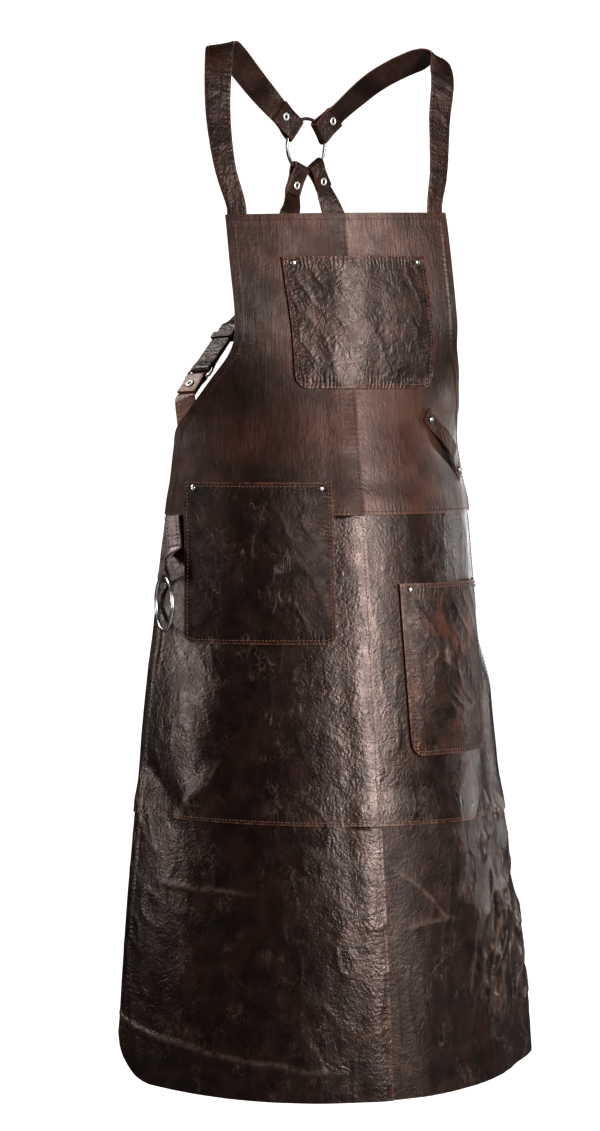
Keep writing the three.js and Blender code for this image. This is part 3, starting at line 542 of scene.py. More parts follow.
for panel in panels:
    top, bottom = panel["top"], panel["bottom"]
    if panel["tucked"]:
        clear = top - LAP / 2 - GAP
        level_keys = [top + LAP / 2, clear, clear - 1, clear - 2, bottom]
    else:
        level_keys = [top, bottom]
    if panel["lapped"]:
        level_keys[-1:] = [bottom + LAP / 2 + LAP_RAMP, bottom + LAP / 2, bottom - LAP / 2]
    levels = between(level_keys, PANEL_STEP)
    # a tucked strip lies flat under the panel above, so its seam only starts below that panel's edge
    seam_share = 1 - smoothstep(levels, clear - 1, clear) if panel["tucked"] else np.ones_like(levels)
    reach_share = np.clip(clear - 1 - levels, 0, 1) if panel["tucked"] else np.ones_like(levels)
    hang = np.zeros_like(levels)
    if panel["lapped"]:
        hang = 1 - smoothstep(levels, bottom + LAP / 2, bottom + LAP / 2 + LAP_RAMP)
    for side_name, side in SIDES:
        half_width = section_value(levels, "half_width")
        count = math.ceil(half_width.max() / PANEL_STEP)
        shares = np.linspace(0, 1, count)
        inner_edge = LAP + LAP_RAMP
        outer_part = mix(inner_edge, half_width[:, None], shares[None, :])
        if side > 0:
            lap_part = np.repeat(between([-LAP, 0, inner_edge], PANEL_STEP)[None, :-1], len(levels), 0)
            s = np.concatenate([lap_part, outer_part], 1)
            seam = np.zeros_like(s)
        else:
            ramp_end = mix(-LAP - LAP_RAMP / 2, -LAP, reach_share)[:, None]
            edge_end = mix(-LAP - GAP, 0, reach_share)[:, None]
            ramp = np.linspace(0, 1, 5)[None, 1:]
            lap = np.linspace(0, 1, 6)[None, 1:]
            s = np.concatenate([
                -outer_part[:, ::-1], mix(-inner_edge, ramp_end, ramp), mix(ramp_end, edge_end, lap),
            ], 1)
            flat_part = np.zeros_like(outer_part)
            rising = np.repeat(smoothstep(ramp, 0, 1), len(levels), 0)
            seam = np.concatenate([flat_part, rising, np.ones((len(levels), 5))], 1) * seam_share[:, None]
        level = np.repeat(levels[:, None], s.shape[1], 1)
        lift = LAYER * (seam + hang[:, None])
        from_side = half_width[:, None] - np.abs(s)
        turned = hem_lift(from_side)
        if panel["name"] == "bib":
            turned = np.maximum(turned, hem_lift(top - level))
        outer = apron_point(s, level, lift + LEATHER + turned)
        inner = apron_point(s, level, lift)
        dark, warm = np.zeros_like(s), np.zeros_like(s)
        # The bib's dark patches are partly real stains and partly painted shade; its warm ones are rubbed
        # places.
        if panel["name"] == "bib":
            dark, warm = stains_and_shade(s, level)
        seam_reach = SEAM_PUCKER[panel["name"]]
        across_pucker = near_line(level - bottom + LAP / 2 - 3, 9) if panel["lapped"] else np.zeros_like(s)
        if panel["name"] == "bib":
            across_pucker = np.maximum(across_pucker, near_line(top - 9 - level, 7))
        upright_pucker = np.maximum(near_line(from_side - 9, 7), near_line(s + 5, seam_reach))
        worn = 1 - smoothstep(-s, 0, WORN_EDGE) if side < 0 else np.zeros_like(s)
        if panel["lapped"]:
            worn = np.maximum(worn, 1 - smoothstep(level - bottom + LAP / 2, 0, WORN_EDGE))
        crest = crease_height(s / half_width[:, None], level, half_width[:, None])[1]
        crest = CREST_WEAR * np.maximum(crest, crumple(s, level)[1])
        dulled = np.zeros_like(s)
        if panel["name"] == "skirt_lower" and side > 0:
            dulled = 1 - smoothstep(s, *DULLED_S)
        marks = {
            "stain_and_painted_shade": dark, "warm_stain": warm, "pucker_u": across_pucker, "pucker_v": upright_pucker,
            "worn_edge": worn, "worn_crest": crest, "dulled": dulled,
        }
        name = f"{panel['name']}_{side_name}"
        piece = wall(
            f"{name}_leather", outer, inner, np.stack([s, level], -1), marks,
            [panel["leather"][side > 0], flesh_side, raw_edge],
        )
        settle(piece, "panel_leather", name)

# Seam stitching
# Lock stitches of waxed thread along the turned hems and the lapped seams: dark on the bib and the side hems,
# tan on the skirt's seams. They are drawn at the pitch that they have on the apron.
STITCH_PITCH = 3.8
STITCH_SIZE = {"Length": 3.0, "Width": 0.85, "Height": 0.7}
HEM_STITCH = 7.5
SEAM_STITCH = 3.4
LINE_STEP = 4.0
ON_TOP = 0.1


def thread(name, colour):
    """Waxed thread: dull, with a faint sheen."""
    material, tree = new_material(name)
    shader = add_node(tree, "ShaderNodeBsdfPrincipled", {"Base Color": linear(colour), "Roughness": 0.6})
    add_node(tree, "ShaderNodeOutputMaterial", {0: shader})
    return material


dark_thread = thread("dark_waxed_thread", "#2c1a15")
tan_thread = thread("tan_waxed_thread", "#7c5746")


def new_tree(name, numbers, materials):
    """An empty Geometry Nodes tree with a geometry, some numbers and some materials as inputs."""
    tree = bpy.data.node_groups.new(name, "GeometryNodeTree")
    tree.interface.new_socket("Geometry", in_out="INPUT", socket_type="NodeSocketGeometry")
    for key in numbers:
        tree.interface.new_socket(key, in_out="INPUT", socket_type="NodeSocketFloat")
    for key in materials:
        tree.interface.new_socket(key, in_out="INPUT", socket_type="NodeSocketMaterial")
    tree.interface.new_socket("Geometry", in_out="OUTPUT", socket_type="NodeSocketGeometry")
    return tree, add_node(tree, "NodeGroupInput").node.outputs


def made_real(tree, instances, material):
    smooth = add_node(tree, "GeometryNodeSetShadeSmooth", {0: instances})
    real = add_node(tree, "GeometryNodeRealizeInstances", {0: smooth})
    return add_node(tree, "GeometryNodeSetMaterial", {"Geometry": real, "Material": material})


def upright_turn(tree):
    """The turn that stands an instance up the way its point faces."""
    facing = add_node(
        tree, "GeometryNodeInputNamedAttribute", {"Name": "facing"}, data_type="FLOAT_VECTOR",
    )
    return add_node(tree, "FunctionNodeAlignRotationToVector", {"Vector": facing}, axis="Z")


stitch_tree, given = new_tree("lock_stitches", ("Pitch", "Length", "Width", "Height"), ("Thread",))
line = add_node(stitch_tree, "GeometryNodeMeshToCurve", {"Mesh": given["Geometry"]})
even = add_node(
    stitch_tree, "GeometryNodeResampleCurve", {"Curve": line, "Length": given["Pitch"]}, mode="LENGTH",
)
tangent = add_node(stitch_tree, "GeometryNodeInputTangent")
aligned = add_node(stitch_tree, "FunctionNodeAlignRotationToVector", {
    "Rotation": upright_turn(stitch_tree), "Vector": tangent,
}, axis="X", pivot_axis="Z")
bead = add_node(stitch_tree, "GeometryNodeMeshUVSphere", {"Segments": 8, "Rings": 5, "Radius": 0.5})
bead_size = add_node(stitch_tree, "ShaderNodeCombineXYZ", {
    0: given["Length"], 1: given["Width"], 2: given["Height"],
})
beads = add_node(stitch_tree, "GeometryNodeInstanceOnPoints", {
    "Points": even, "Instance": bead, "Rotation": aligned, "Scale": bead_size,
})
add_node(stitch_tree, "NodeGroupOutput", {0: made_real(stitch_tree, beads, given["Thread"])})


def grow(name, lines, tree, settings):
    """Runs a tree over lines of points that know which way they face, and keeps the mesh that it makes."""
    points = np.concatenate([at for at, _ in lines]) / 1000
    facings = np.concatenate([face for _, face in lines])
    edges = []
    first = 0
    for at, _ in lines:
        edges += [(first + i, first + i + 1) for i in range(len(at) - 1)]
        first += len(at)
    guide = bpy.data.meshes.new(f"{name}_guide")
    guide.from_pydata(points.tolist(), edges, [])
    mark = guide.attributes.new("facing", "FLOAT_VECTOR", "POINT")
    mark.data.foreach_set("vector", facings.astype(np.float32).reshape(-1))
    piece = add_object(name, guide)
    modifier = piece.modifiers.new(tree.name, "NODES")
    modifier.node_group = tree
    for socket in tree.interface.items_tree:
        if socket.in_out == "INPUT" and socket.name in settings:
            modifier[socket.identifier] = settings[socket.name]
    bpy.context.view_layer.update()
    shape = piece.evaluated_get(bpy.context.evaluated_depsgraph_get())
    made = bpy.data.meshes.new_from_object(shape)
    piece.modifiers.remove(modifier)
    piece.data = made
    made.name = name
    bpy.data.meshes.remove(guide)
    return piece


def sew(name, lines, material, slot):
    settings = {key: value / 1000 for key, value in STITCH_SIZE.items()}
    settings.update({"Pitch": STITCH_PITCH / 1000, "Thread": material})
    piece = grow(name, lines, stitch_tree, settings)
    settle(piece, slot)


def seam_lift(s):
    return np.where(s <= 0, LAYER * smoothstep(s, -LAP - LAP_RAMP, -LAP), 0)


def hang_lift(level, bottom):
    return LAYER * (1 - smoothstep(level, bottom + LAP / 2, bottom + LAP / 2 + LAP_RAMP))


def on_panel(s, level, lift):
    s, level, lift = np.broadcast_arrays(s, level, lift)
    return apron_point(s, level, LEATHER + lift + ON_TOP), apron_face(s, level)


def down_line(top, bottom):
    return np.linspace(top, bottom, math.ceil((top - bottom) / LINE_STEP))


def across_line(level, lift):
    reach = float(section_value(level, "half_width")) - HEM_STITCH - 2
    s = np.linspace(-reach, reach, math.ceil(2 * reach / LINE_STEP))
    return on_panel(s, level, lift + seam_lift(s))


bib_lines = [
    across_line(BIB_TOP - HEM_STITCH + 1, TURNED_LIFT), across_line(WAIST - LAP / 2 + SEAM_STITCH, LAYER),
]
skirt_lines = [across_line(KNEE - LAP / 2 + SEAM_STITCH, LAYER)]
hem_lines = []
runs = [
    (BIB_TOP - 6, WAIST, True, bib_lines),
    (WAIST - LAP, KNEE, True, hem_lines),
    (KNEE - LAP, HEM + HEM_CORNER, False, hem_lines),
]
for top, bottom, lapped, lines in runs:
    level = down_line(top, bottom)
    lift = TURNED_LIFT + (hang_lift(level, bottom) if lapped else 0)
    for side in (-1, 1):
        s = side * (section_value(level, "half_width") - HEM_STITCH)
        lines.append(on_panel(s, level, lift))
level = down_line(BIB_TOP - 2, WAIST - LAP / 2)
bib_lines.append(on_panel(-SEAM_STITCH, level, LAYER + hang_lift(level, WAIST)))
level = down_line(WAIST - LAP / 2 - 4, KNEE - LAP / 2)
skirt_lines.append(on_panel(-SEAM_STITCH, level, LAYER + hang_lift(level, KNEE)))
level = down_line(KNEE - LAP / 2 - 4, HEM + 2)
skirt_lines.append(on_panel(-SEAM_STITCH, level, LAYER))
sew("bib_stitches", bib_lines, dark_thread, "panel_leather")
sew("skirt_side_stitches", hem_lines, dark_thread, "panel_leather")
sew("skirt_seam_stitches", skirt_lines, tan_thread, "panel_leather")

# Patch pockets
# One on the chest and one on each hip: softer leather that has crinkled with use, sewn down at the sides
# and the bottom, with the mouth standing off the apron.
POCKETS = [
    {"name": "chest_pocket", "left": -74, "right": 90, "mouth": -214, "bottom": -350, "drift": 9,
     "spread": 0, "corner": 14, "bulge": 10, "on": ["bib_left", "bib_right"]},
    {"name": "hip_pocket_left", "left": -186, "right": -34, "mouth": -446, "bottom": -611, "drift": -8,
     "spread": 9, "corner": 12, "bulge": 12, "on": ["bib_left", "skirt_upper_left"]},
    {"name": "hip_pocket_right", "left": 36, "right": 188, "mouth": -551, "bottom": -727, "drift": 4,
     "spread": 0, "corner": 16, "bulge": 12, "on": ["skirt_upper_right"]},
]
POCKET_GAP = 0.9
POCKET_STEP = 1.6
POCKET_STITCH = 4.2
POCKET_PUCKER = 5
LAP_COVER = LAYER + GAP
chest_look = {
    **skirt_look, "brown": "#2e1f1a", "red": "#472b21", "edge": "#5c3a2d", "rub": 0.75, "wrinkle_mm": 11,
    "wrinkle": 0.2, "crease": 0.2, "pucker_mm": 4.4, "pucker": 0.3, "rough": (0.31, 0.43), "shine": 0.45,
}
hip_look = {
    **skirt_look, "crease_mm": 30, "crease": 0.14, "wrinkle_mm": 8, "wrinkle": 0.16, "crackle": 0.12,
    "soft_mm": 18, "pucker_mm": 4.4, "pucker": 0.2, "scratch": 0.6, "rough": (0.40, 0.54), "shine": 0.2,
}
pocket_leathers = {
    "chest_pocket": grain_leather("crinkled_cowhide", chest_look),
    "hip_pocket_left": grain_leather("creased_cowhide", hip_look),
}
pocket_leathers["hip_pocket_right"] = grain_leather("reddish_creased_cowhide", {
    **hip_look, "brown": "#39251d", "red": "#573224", "rub": 0.7, "rough": (0.34, 0.48), "shine": 0.36,
})


def lap_cover(distance):
    return 1 - smoothstep(np.abs(distance), LAP / 2 + 3, LAP / 2 + LAP_RAMP + 6)


def crinkle(s, level, from_edge):
    """Crinkles of the soft pocket leather, which die out towards the sewn edges."""
    warp = 10 * soft_noise(s / 30, level / 30, 21)
    waves = soft_noise((s + 0.3 * level) / 26, (level + warp) / 60, 22)
    ridges = 1 - np.abs(soft_noise((s + 0.7 * level + warp) / 22, (level - 0.4 * s) / 70, 23))
    return smoothstep(from_edge, 2, 16) * (0.5 * waves + 0.8 * ridges ** 4 - 0.3)


def pocket_point(pocket, across, down, out, crinkled=1.0):
    width = pocket["right"] - pocket["left"]
    height = pocket["mouth"] - pocket["bottom"]
    drift = pocket["drift"] + pocket["spread"] * (across - 0.5)
    s = mix(pocket["left"], pocket["right"], across) + drift * down
    from_side = np.minimum(across, 1 - across) * width
    into = np.clip(pocket["corner"] - from_side, 0, pocket["corner"])
    drawn_up = pocket["corner"] - np.sqrt(pocket["corner"] ** 2 - into ** 2)
    level = mix(pocket["mouth"], pocket["bottom"], down) + drawn_up * down ** 6
    bow = np.sin(np.pi * across) * (1 - np.maximum(down, 0) ** 2.5)
    layers = lap_cover(s + LAP / 2) + lap_cover(level - WAIST)
    from_edge = np.minimum(from_side, np.minimum(down, 1 - down) * height)
    relief = crinkled * crinkle(s, level, from_edge)
    base = LEATHER + POCKET_GAP + LAP_COVER * layers + pocket["bulge"] * bow + relief
    return apron_point(s, level, base + out), s, level, from_edge


def pocket_face(pocket, across, down):
    step = 0.01
    here = pocket_point(pocket, across, down, LEATHER, 0.0)[0]
    beside = pocket_point(pocket, across + step, down, LEATHER, 0.0)[0] - here
    under = pocket_point(pocket, across, down + step, LEATHER, 0.0)[0] - here
    face = np.cross(under, beside)
    return face / np.linalg.norm(face, axis=-1, keepdims=True)


pocket_lines = []
for pocket in POCKETS:
    width = pocket["right"] - pocket["left"]
    height = pocket["mouth"] - pocket["bottom"]
    columns = np.linspace(0, 1, round(width / POCKET_STEP))
    rows = np.linspace(0, 1, round(height / POCKET_STEP))
    across, down = np.meshgrid(columns, rows)
    outer, s, level, from_edge = pocket_point(pocket, across, down, LEATHER)
    inner = pocket_point(pocket, across, down, 0.0)[0]
    from_side = np.minimum(across, 1 - across) * width
    from_end = np.minimum(down, 1 - down) * height
    marks = {
        "pucker_u": near_line(from_end - POCKET_PUCKER, 7),
        "pucker_v": near_line(from_side - POCKET_PUCKER, 7),
        "worn_edge": 1 - smoothstep(from_edge, 0, WORN_EDGE),
    }
    piece = wall(
        f"{pocket['name']}_leather", outer, inner, np.stack([s, level], -1), marks,
        [pocket_leathers[pocket["name"]], flesh_side, raw_edge],
    )
    settle(piece, "pocket_leather", pocket["name"])
    inset = POCKET_STITCH / width
    drop = POCKET_STITCH / height
    side_run = np.linspace(drop, 1 - drop, math.ceil(height / LINE_STEP))
    end_run = np.linspace(inset, 1 - inset, math.ceil(width / LINE_STEP))
    for line_across, line_down in (
        (np.full_like(side_run, inset), side_run), (np.full_like(side_run, 1 - inset), side_run),
        (end_run, np.full_like(end_run, drop)), (end_run, np.full_like(end_run, 1 - drop)),
    ):
        at = pocket_point(pocket, line_across, line_down, LEATHER + ON_TOP)[0]
        pocket_lines.append((at, pocket_face(pocket, line_across, line_down)))
sew("pocket_stitches", pocket_lines, tan_thread, "pocket_leather")

# Steel rivets on the pockets
# Small domed caps, two at each pocket mouth.
SMALL_RIVET = {"Radius": 3.3, "Height": 1.8}
POCKET_RIVET_INSET = 11
POCKET_RIVET_DROP = 6
SCUFF_MM = 10 / 9


def polished_steel(name, colour, roughness):
    """Bright steel with fine scuffs, which break its reflections up a little."""
    material, tree = new_material(name)
    place = add_node(tree, "ShaderNodeTexCoord", output="Object")
    scuff = add_node(tree, NOISE, {"Vector": place, "Scale": 1000 / SCUFF_MM, "Detail": 3.0})
    rough = add_node(tree, MATH, {0: scuff, 1: 0.2, 2: roughness - 0.1}, operation="MULTIPLY_ADD")
    shader = add_node(tree, "ShaderNodeBsdfPrincipled", {
        "Base Color": linear(colour), "Metallic": 1.0, "Roughness": rough,
    })
    add_node(tree, "ShaderNodeOutputMaterial", {0: shader})
    return material


steel = polished_steel("polished_steel", "#cfccc8", 0.28)
wire_steel = polished_steel("steel_wire", "#8f8b87", 0.30)

rivet_tree, given = new_tree("rivet_caps", ("Radius", "Height"), ("Steel",))
dome = add_node(rivet_tree, "GeometryNodeMeshUVSphere", {"Segments": 24, "Rings": 12, "Radius": 1.0})
dome_size = add_node(rivet_tree, "ShaderNodeCombineXYZ", {
    0: given["Radius"], 1: given["Radius"], 2: given["Height"],
})
domes = add_node(rivet_tree, "GeometryNodeInstanceOnPoints", {
    "Points": given["Geometry"], "Instance": dome, "Rotation": upright_turn(rivet_tree), "Scale": dome_size,
})
add_node(rivet_tree, "NodeGroupOutput", {0: made_real(rivet_tree, domes, given["Steel"])})


def rivet(name, seats, nodes):
    settings = {key: value / 1000 for key, value in SMALL_RIVET.items()}
    settings["Steel"] = steel
    settle(grow(name, seats, rivet_tree, settings), "steel", *nodes)


rivet_seats = []
rivet_nodes = []
for pocket in POCKETS:
    inset = POCKET_RIVET_INSET / (pocket["right"] - pocket["left"])
    down = np.array([POCKET_RIVET_DROP / (pocket["mouth"] - pocket["bottom"])])
    for side_name, across in (("left", inset), ("right", 1 - inset)):
        across = np.array([across])
        seat = pocket_point(pocket, across, down, LEATHER + GAP)[0]
        rivet_seats.append((seat, pocket_face(pocket, across, down)))
        rivet_nodes.append(f"{pocket['name']}_rivet_{side_name}")
rivet("pocket_rivets", rivet_seats, rivet_nodes)

# Back ring
# A ring of steel wire between the shoulder blades that all four straps fold round.
BACK_RING = {"centre": (6, 75, -91), "turn": 20, "lean": 4, "radius": 28.2, "wire": 1.8}
WIRE_SIDES = 16
RING_STEPS = 120


def wire_loop(name, middle, out, normal, wire, metal):
    """A closed wire along the points of middle, which lie in one plane."""
    count = len(middle)
    angle = np.linspace(0, 2 * np.pi, WIRE_SIDES, endpoint=False)[None, :, None]
    corners = middle[:, None] + wire * (np.cos(angle) * out[:, None] + np.sin(angle) * normal[None, None])
    grid = np.arange(count * WIRE_SIDES).reshape(count, WIRE_SIDES)
    ahead = np.roll(grid, -1, 0)
    faces = np.stack([grid, ahead, np.roll(ahead, -1, 1), np.roll(grid, -1, 1)], -1).reshape(-1, 4)
    if np.cross(middle[1] - middle[0], out[0]) @ normal > 0:
        faces = faces[:, ::-1]
    mesh = bpy.data.meshes.new(name)
    mesh.from_pydata((corners.reshape(-1, 3) / 1000).tolist(), [], faces.tolist())
    mesh.polygons.foreach_set("use_smooth", np.ones(len(faces), bool))
    mesh.materials.append(metal)
    return add_object(name, mesh)


def wire_ring(name, centre, across, up, radius, wire, metal):
    angle = np.linspace(0, 2 * np.pi, RING_STEPS, endpoint=False)[:, None]
    out = np.cos(angle) * across + np.sin(angle) * up
    return wire_loop(name, centre + radius * out, out, np.cross(across, up), wire, metal)


turned = math.radians(BACK_RING["turn"])
leant = math.radians(BACK_RING["lean"])
ring_centre = np.array(BACK_RING["centre"], float)
ring_across = np.array([math.cos(turned), math.sin(turned), 0])
ring_up = np.array([
    math.sin(turned) * math.sin(leant), -math.cos(turned) * math.sin(leant), math.cos(leant),
])
ring_back = np.cross(ring_up, ring_across)
piece = wire_ring(
    "back_ring_wire", ring_centre, ring_across, ring_up, BACK_RING["radius"], BACK_RING["wire"], wire_steel,
)
settle(piece, "steel", "back_ring")

# Shoulder straps
# Bands of thicker leather, sewn inside the bib's top corners, over the shoulders and folded round the back
# ring. A line of stitches runs along each edge.
STRAP_LEATHER = 2.4
RING_PLACES = {"upper_left": 141, "upper_right": 38, "lower_left": 252, "lower_right": 305}
RING_TAIL = 27
RING_REACH = 24
RING_RIVET = 17
SHOULDER_END_WIDTH = 20
SHOULDER_RING_WIDTH = 26
SHOULDER_SEWN = {"inset": 12, "length": 24, "above": 8, "clear": 1.05}
FOLD_CLOSES_AT = 11
FOLD_BENDS_AT = 5
BAND_STEPS = 16
BAND_COLUMNS = 11
STRAP_EDGE_STITCH = 3.5
STRAP_WRINKLE = 0.5
FREE_STITCH_START = 0.24

# rows of the free stretch: the middle of the strap, the way it faces and its width
SHOULDER_RUNS = {
    "left": [
        ((-132, -25, -125), (-0.2, -1, 0.1), 22),
        ((-135, -14, -70), (-0.15, -1, 0.2), 26),
        ((-131, -6, -18), (-0.12, -1, 0.5), 29),
        ((-124, 3, 2.5), (-0.12, 0, 1), 29),
        ((-106, 15, -6), (-0.25, 0.75, 0.75), 29),
        ((-64, 42, -36), (-0.2, 0.85, 0.55), 27),
    ],
    "right": [
        ((113, -25, -125), (0.2, -1, 0.1), 22),
        ((120, -14, -66), (0.15, -1, 0.2), 26),
        ((127, -6, -18), (0.2, -1, 0.5), 29),
        ((123, 3, 2.5), (0.2, 0, 1), 29),
        ((108, 15, -2), (0.3, 0.75, 0.75), 29),
        ((74, 42, -22), (0.25, 0.85, 0.55), 26),
    ],
}
strap_look = {
    **bib_look, "brown": "#392620", "dark": "#221612", "red": "#482d23", "edge": "#452d24",
    "wrinkle_mm": 11, "wrinkle": 0.2, "rough": (0.30, 0.44), "crease": 0.3, "crease_mm": 30, "fibre": 0.2,
    "soft_mm": 14, "soft": 0.5, "pucker": 0.15,
}
strap_leather = grain_leather("strap_cowhide", strap_look)


def unit(vector):
    vector = np.asarray(vector, float)
    return vector / np.linalg.norm(vector, axis=-1, keepdims=True)


def smooth_run(rows, steps):
    """Stations on a smooth curve through rows of middle, facing and width."""
    points = np.array([row[0] for row in rows], float)
    faces = unit([row[1] for row in rows])
    widths = [row[2] for row in rows]
    ends = np.concatenate([[2 * points[0] - points[1]], points, [2 * points[-1] - points[-2]]])
    stations = []
    for i in range(len(points) - 1):
        p0, p1, p2, p3 = ends[i:i + 4]
        d0, d1, d2 = (math.sqrt(np.linalg.norm(b - a)) for a, b in ((p0, p1), (p1, p2), (p2, p3)))
        start = ((p1 - p0) / d0 - (p2 - p0) / (d0 + d1) + (p2 - p1) / d1) * d1
        end = ((p2 - p1) / d1 - (p3 - p1) / (d1 + d2) + (p3 - p2) / d2) * d1
        for k in range(steps + (i == len(points) - 2)):
            t = k / steps
            bend = 3 * (p2 - p1) - 2 * start - end
            at = p1 + t * (start + t * (bend + t * (2 * (p1 - p2) + start + end)))
            stations.append((at, mix(faces[i], faces[i + 1], t), mix(widths[i], widths[i + 1], t)))
    return stations


def fold_round(at, run, face, wire, sag, leather, tail, reach, width):
    """A strap end folded round a wire: in on the face side, round the wire and back as a tail behind."""
    bend = wire + GAP + leather / 2
    closed = (leather + GAP) / 2
    half = [(reach, closed), (FOLD_CLOSES_AT, closed), (FOLD_BENDS_AT, 0.8 * bend), (0, bend), (-sag, bend)]
    turns = np.radians(np.arange(15, 180, 15))
    path = half + [(-sag - bend * math.sin(a), bend * math.cos(a)) for a in turns]
    path = np.array(path + [(x, -y) for x, y in half[:0:-1]] + [(tail, -closed)], float)
    for _ in range(2):
        cut = np.stack([mix(path[:-1], path[1:], 0.25), mix(path[:-1], path[1:], 0.75)], 1).reshape(-1, 2)
        path = np.concatenate([path[:1], cut, path[-1:]])
    ahead = unit(np.gradient(path, axis=0))
    return [
        (at + run * x + face * y, run * ty - face * tx, width) for (x, y), (tx, ty) in zip(path, ahead)
    ]


def band_frames(stations):
    at = np.array([station[0] for station in stations])
    along = np.empty_like(at)
    along[1:-1] = at[2:] - at[:-2]
    along[0] = at[1] - at[0]
    along[-1] = at[-1] - at[-2]
    along = unit(along)
    across = unit(np.cross(along, np.array([station[1] for station in stations])))
    width = np.array([station[2] for station in stations], float)
    return at, across, np.cross(across, along), width


def band_points(stations, shares, out, wrinkle=0.0):
    """Points across a band: shares run from -1 to 1 over its width, and out is from its middle."""
    at, across, facing, width = band_frames(stations)
    run = np.concatenate([[0], np.cumsum(np.linalg.norm(np.diff(at, axis=0), axis=1))])
    offset = shares[None] * width[:, None] / 2
    ridge = 1 - np.abs(soft_noise(run[:, None] / 7 + offset / 25, offset / 40 + 0 * run[:, None], 41))
    height = out + wrinkle * (ridge ** 4 - 0.35)
    points = at[:, None] + across[:, None] * offset[..., None] + facing[:, None] * height[..., None]
    return points, np.stack([offset, np.repeat(run[:, None], len(shares), 1)], -1)


def band(node, stations, leather, finish, wrinkle=0.0, rim=raw_edge):
    """A leather band along its stations, in place of the solid of that name."""
    shares = np.sin(np.linspace(1, -1, BAND_COLUMNS) * np.pi / 2)
    crown = leather / 2 * (1 - 0.3 * np.abs(shares) ** 10)
    outer, uv = band_points(stations, shares, crown[None], wrinkle)
    inner, _ = band_points(stations, shares, -crown[None], wrinkle)
    edge = near_line(np.abs(uv[..., 0]) - np.abs(uv[:, :1, 0]) + STRAP_EDGE_STITCH, 3)
    worn = np.repeat(smoothstep(np.abs(shares), 0.9, 1)[None], len(uv), 0)
    marks = {"pucker_v": edge, "worn_edge": worn}
    piece = wall(f"{node}_leather", outer, inner, uv, marks, [finish, finish, rim])
    settle(piece, "strap_leather", node)


def band_line(stations, inset, side, leather, start=0.0):
    """A line along a band at an inset from one edge, on its face side."""
    at, across, facing, width = band_frames(stations)
    line = at + across * (side * (width / 2 - inset))[:, None] + facing * (leather / 2 + ON_TOP)
    first = int(start * len(at))
    return line[first:], facing[first:]


def ring_run(place):
    angle = math.radians(RING_PLACES[place])
    return ring_across * math.cos(angle) + ring_up * math.sin(angle)


def ring_end(place, width):
    run = ring_run(place)
    sag = 1.3 * width * width / (8 * BACK_RING["radius"])
    at = ring_centre + run * BACK_RING["radius"]
    wire = BACK_RING["wire"] + GAP
    return fold_round(at, run, ring_back, wire, sag, STRAP_LEATHER, RING_TAIL, RING_REACH, width)


strap_lines = []
for side_name, side in SIDES:
    rises = np.array([-SHOULDER_SEWN["length"], -SHOULDER_SEWN["length"] / 3, SHOULDER_SEWN["above"]])
    s = np.full(3, side * (float(section_value(BIB_TOP, "half_width")) - SHOULDER_SEWN["inset"]))
    sewn_at = apron_point(s, BIB_TOP + rises, -SHOULDER_SEWN["clear"] - STRAP_LEATHER / 2)
    sewn_face = apron_face(s, BIB_TOP + rises)
    sewn_rows = [(at, face, SHOULDER_END_WIDTH) for at, face in zip(sewn_at, sewn_face)]
    end = ring_end(f"upper_{side_name}", SHOULDER_RING_WIDTH)
    free = smooth_run([*sewn_rows, *SHOULDER_RUNS[side_name], end[0]], BAND_STEPS)
    stations = free + end[1:]
    band(f"shoulder_strap_{side_name}", stations, STRAP_LEATHER, strap_leather, STRAP_WRINKLE)
    for edge in (-1, 1):
        strap_lines.append(band_line(free, STRAP_EDGE_STITCH, edge, STRAP_LEATHER, FREE_STITCH_START))
sew("shoulder_strap_stitches", strap_lines, dark_thread, "strap_leather")

# Side buckles
# Plain frames of steel wire, with no tongue, between the back straps and the side tabs.
BUCKLE = {"centre": (-131.5, 43, -334), "half_width": 16, "half_height": 6, "wire": 1.5, "corner": 4}
BUCKLE_RUN = (0.65, 0.34, 0.70)
BUCKLE_FACE = (-0.72, -0.3, 0.55)
CORNER_TURNS = np.radians(np.arange(0, 91, 10))


def buckle_frame(side):
    mirror = np.array([-side, 1, 1])
    run = unit(mirror * BUCKLE_RUN)
    face = mirror * BUCKLE_FACE
    face = unit(face - run * (face @ run))
    return mirror * np.array(BUCKLE["centre"], float), run, face, unit(np.cross(run, face))


for side_name, side in SIDES:
    centre, run, face, across = buckle_frame(side)
    middle = []
    out = []
    for x, y, start in ((1, 1, 0), (-1, 1, 90), (-1, -1, 180), (1, -1, 270)):
        for turn in CORNER_TURNS + math.radians(start):
            out.append(across * math.cos(turn) + run * math.sin(turn))
            reach_x = x * (BUCKLE["half_width"] - BUCKLE["corner"])
            reach_y = y * (BUCKLE["half_height"] - BUCKLE["corner"])
            middle.append(centre + across * reach_x + run * reach_y + out[-1] * BUCKLE["corner"])
    name = f"buckle_{side_name}_wire"
    normal = np.cross(across, run)
    piece = wire_loop(name, np.array(middle), np.array(out), normal, BUCKLE["wire"], steel)
    settle(piece, "steel", f"buckle_{side_name}")

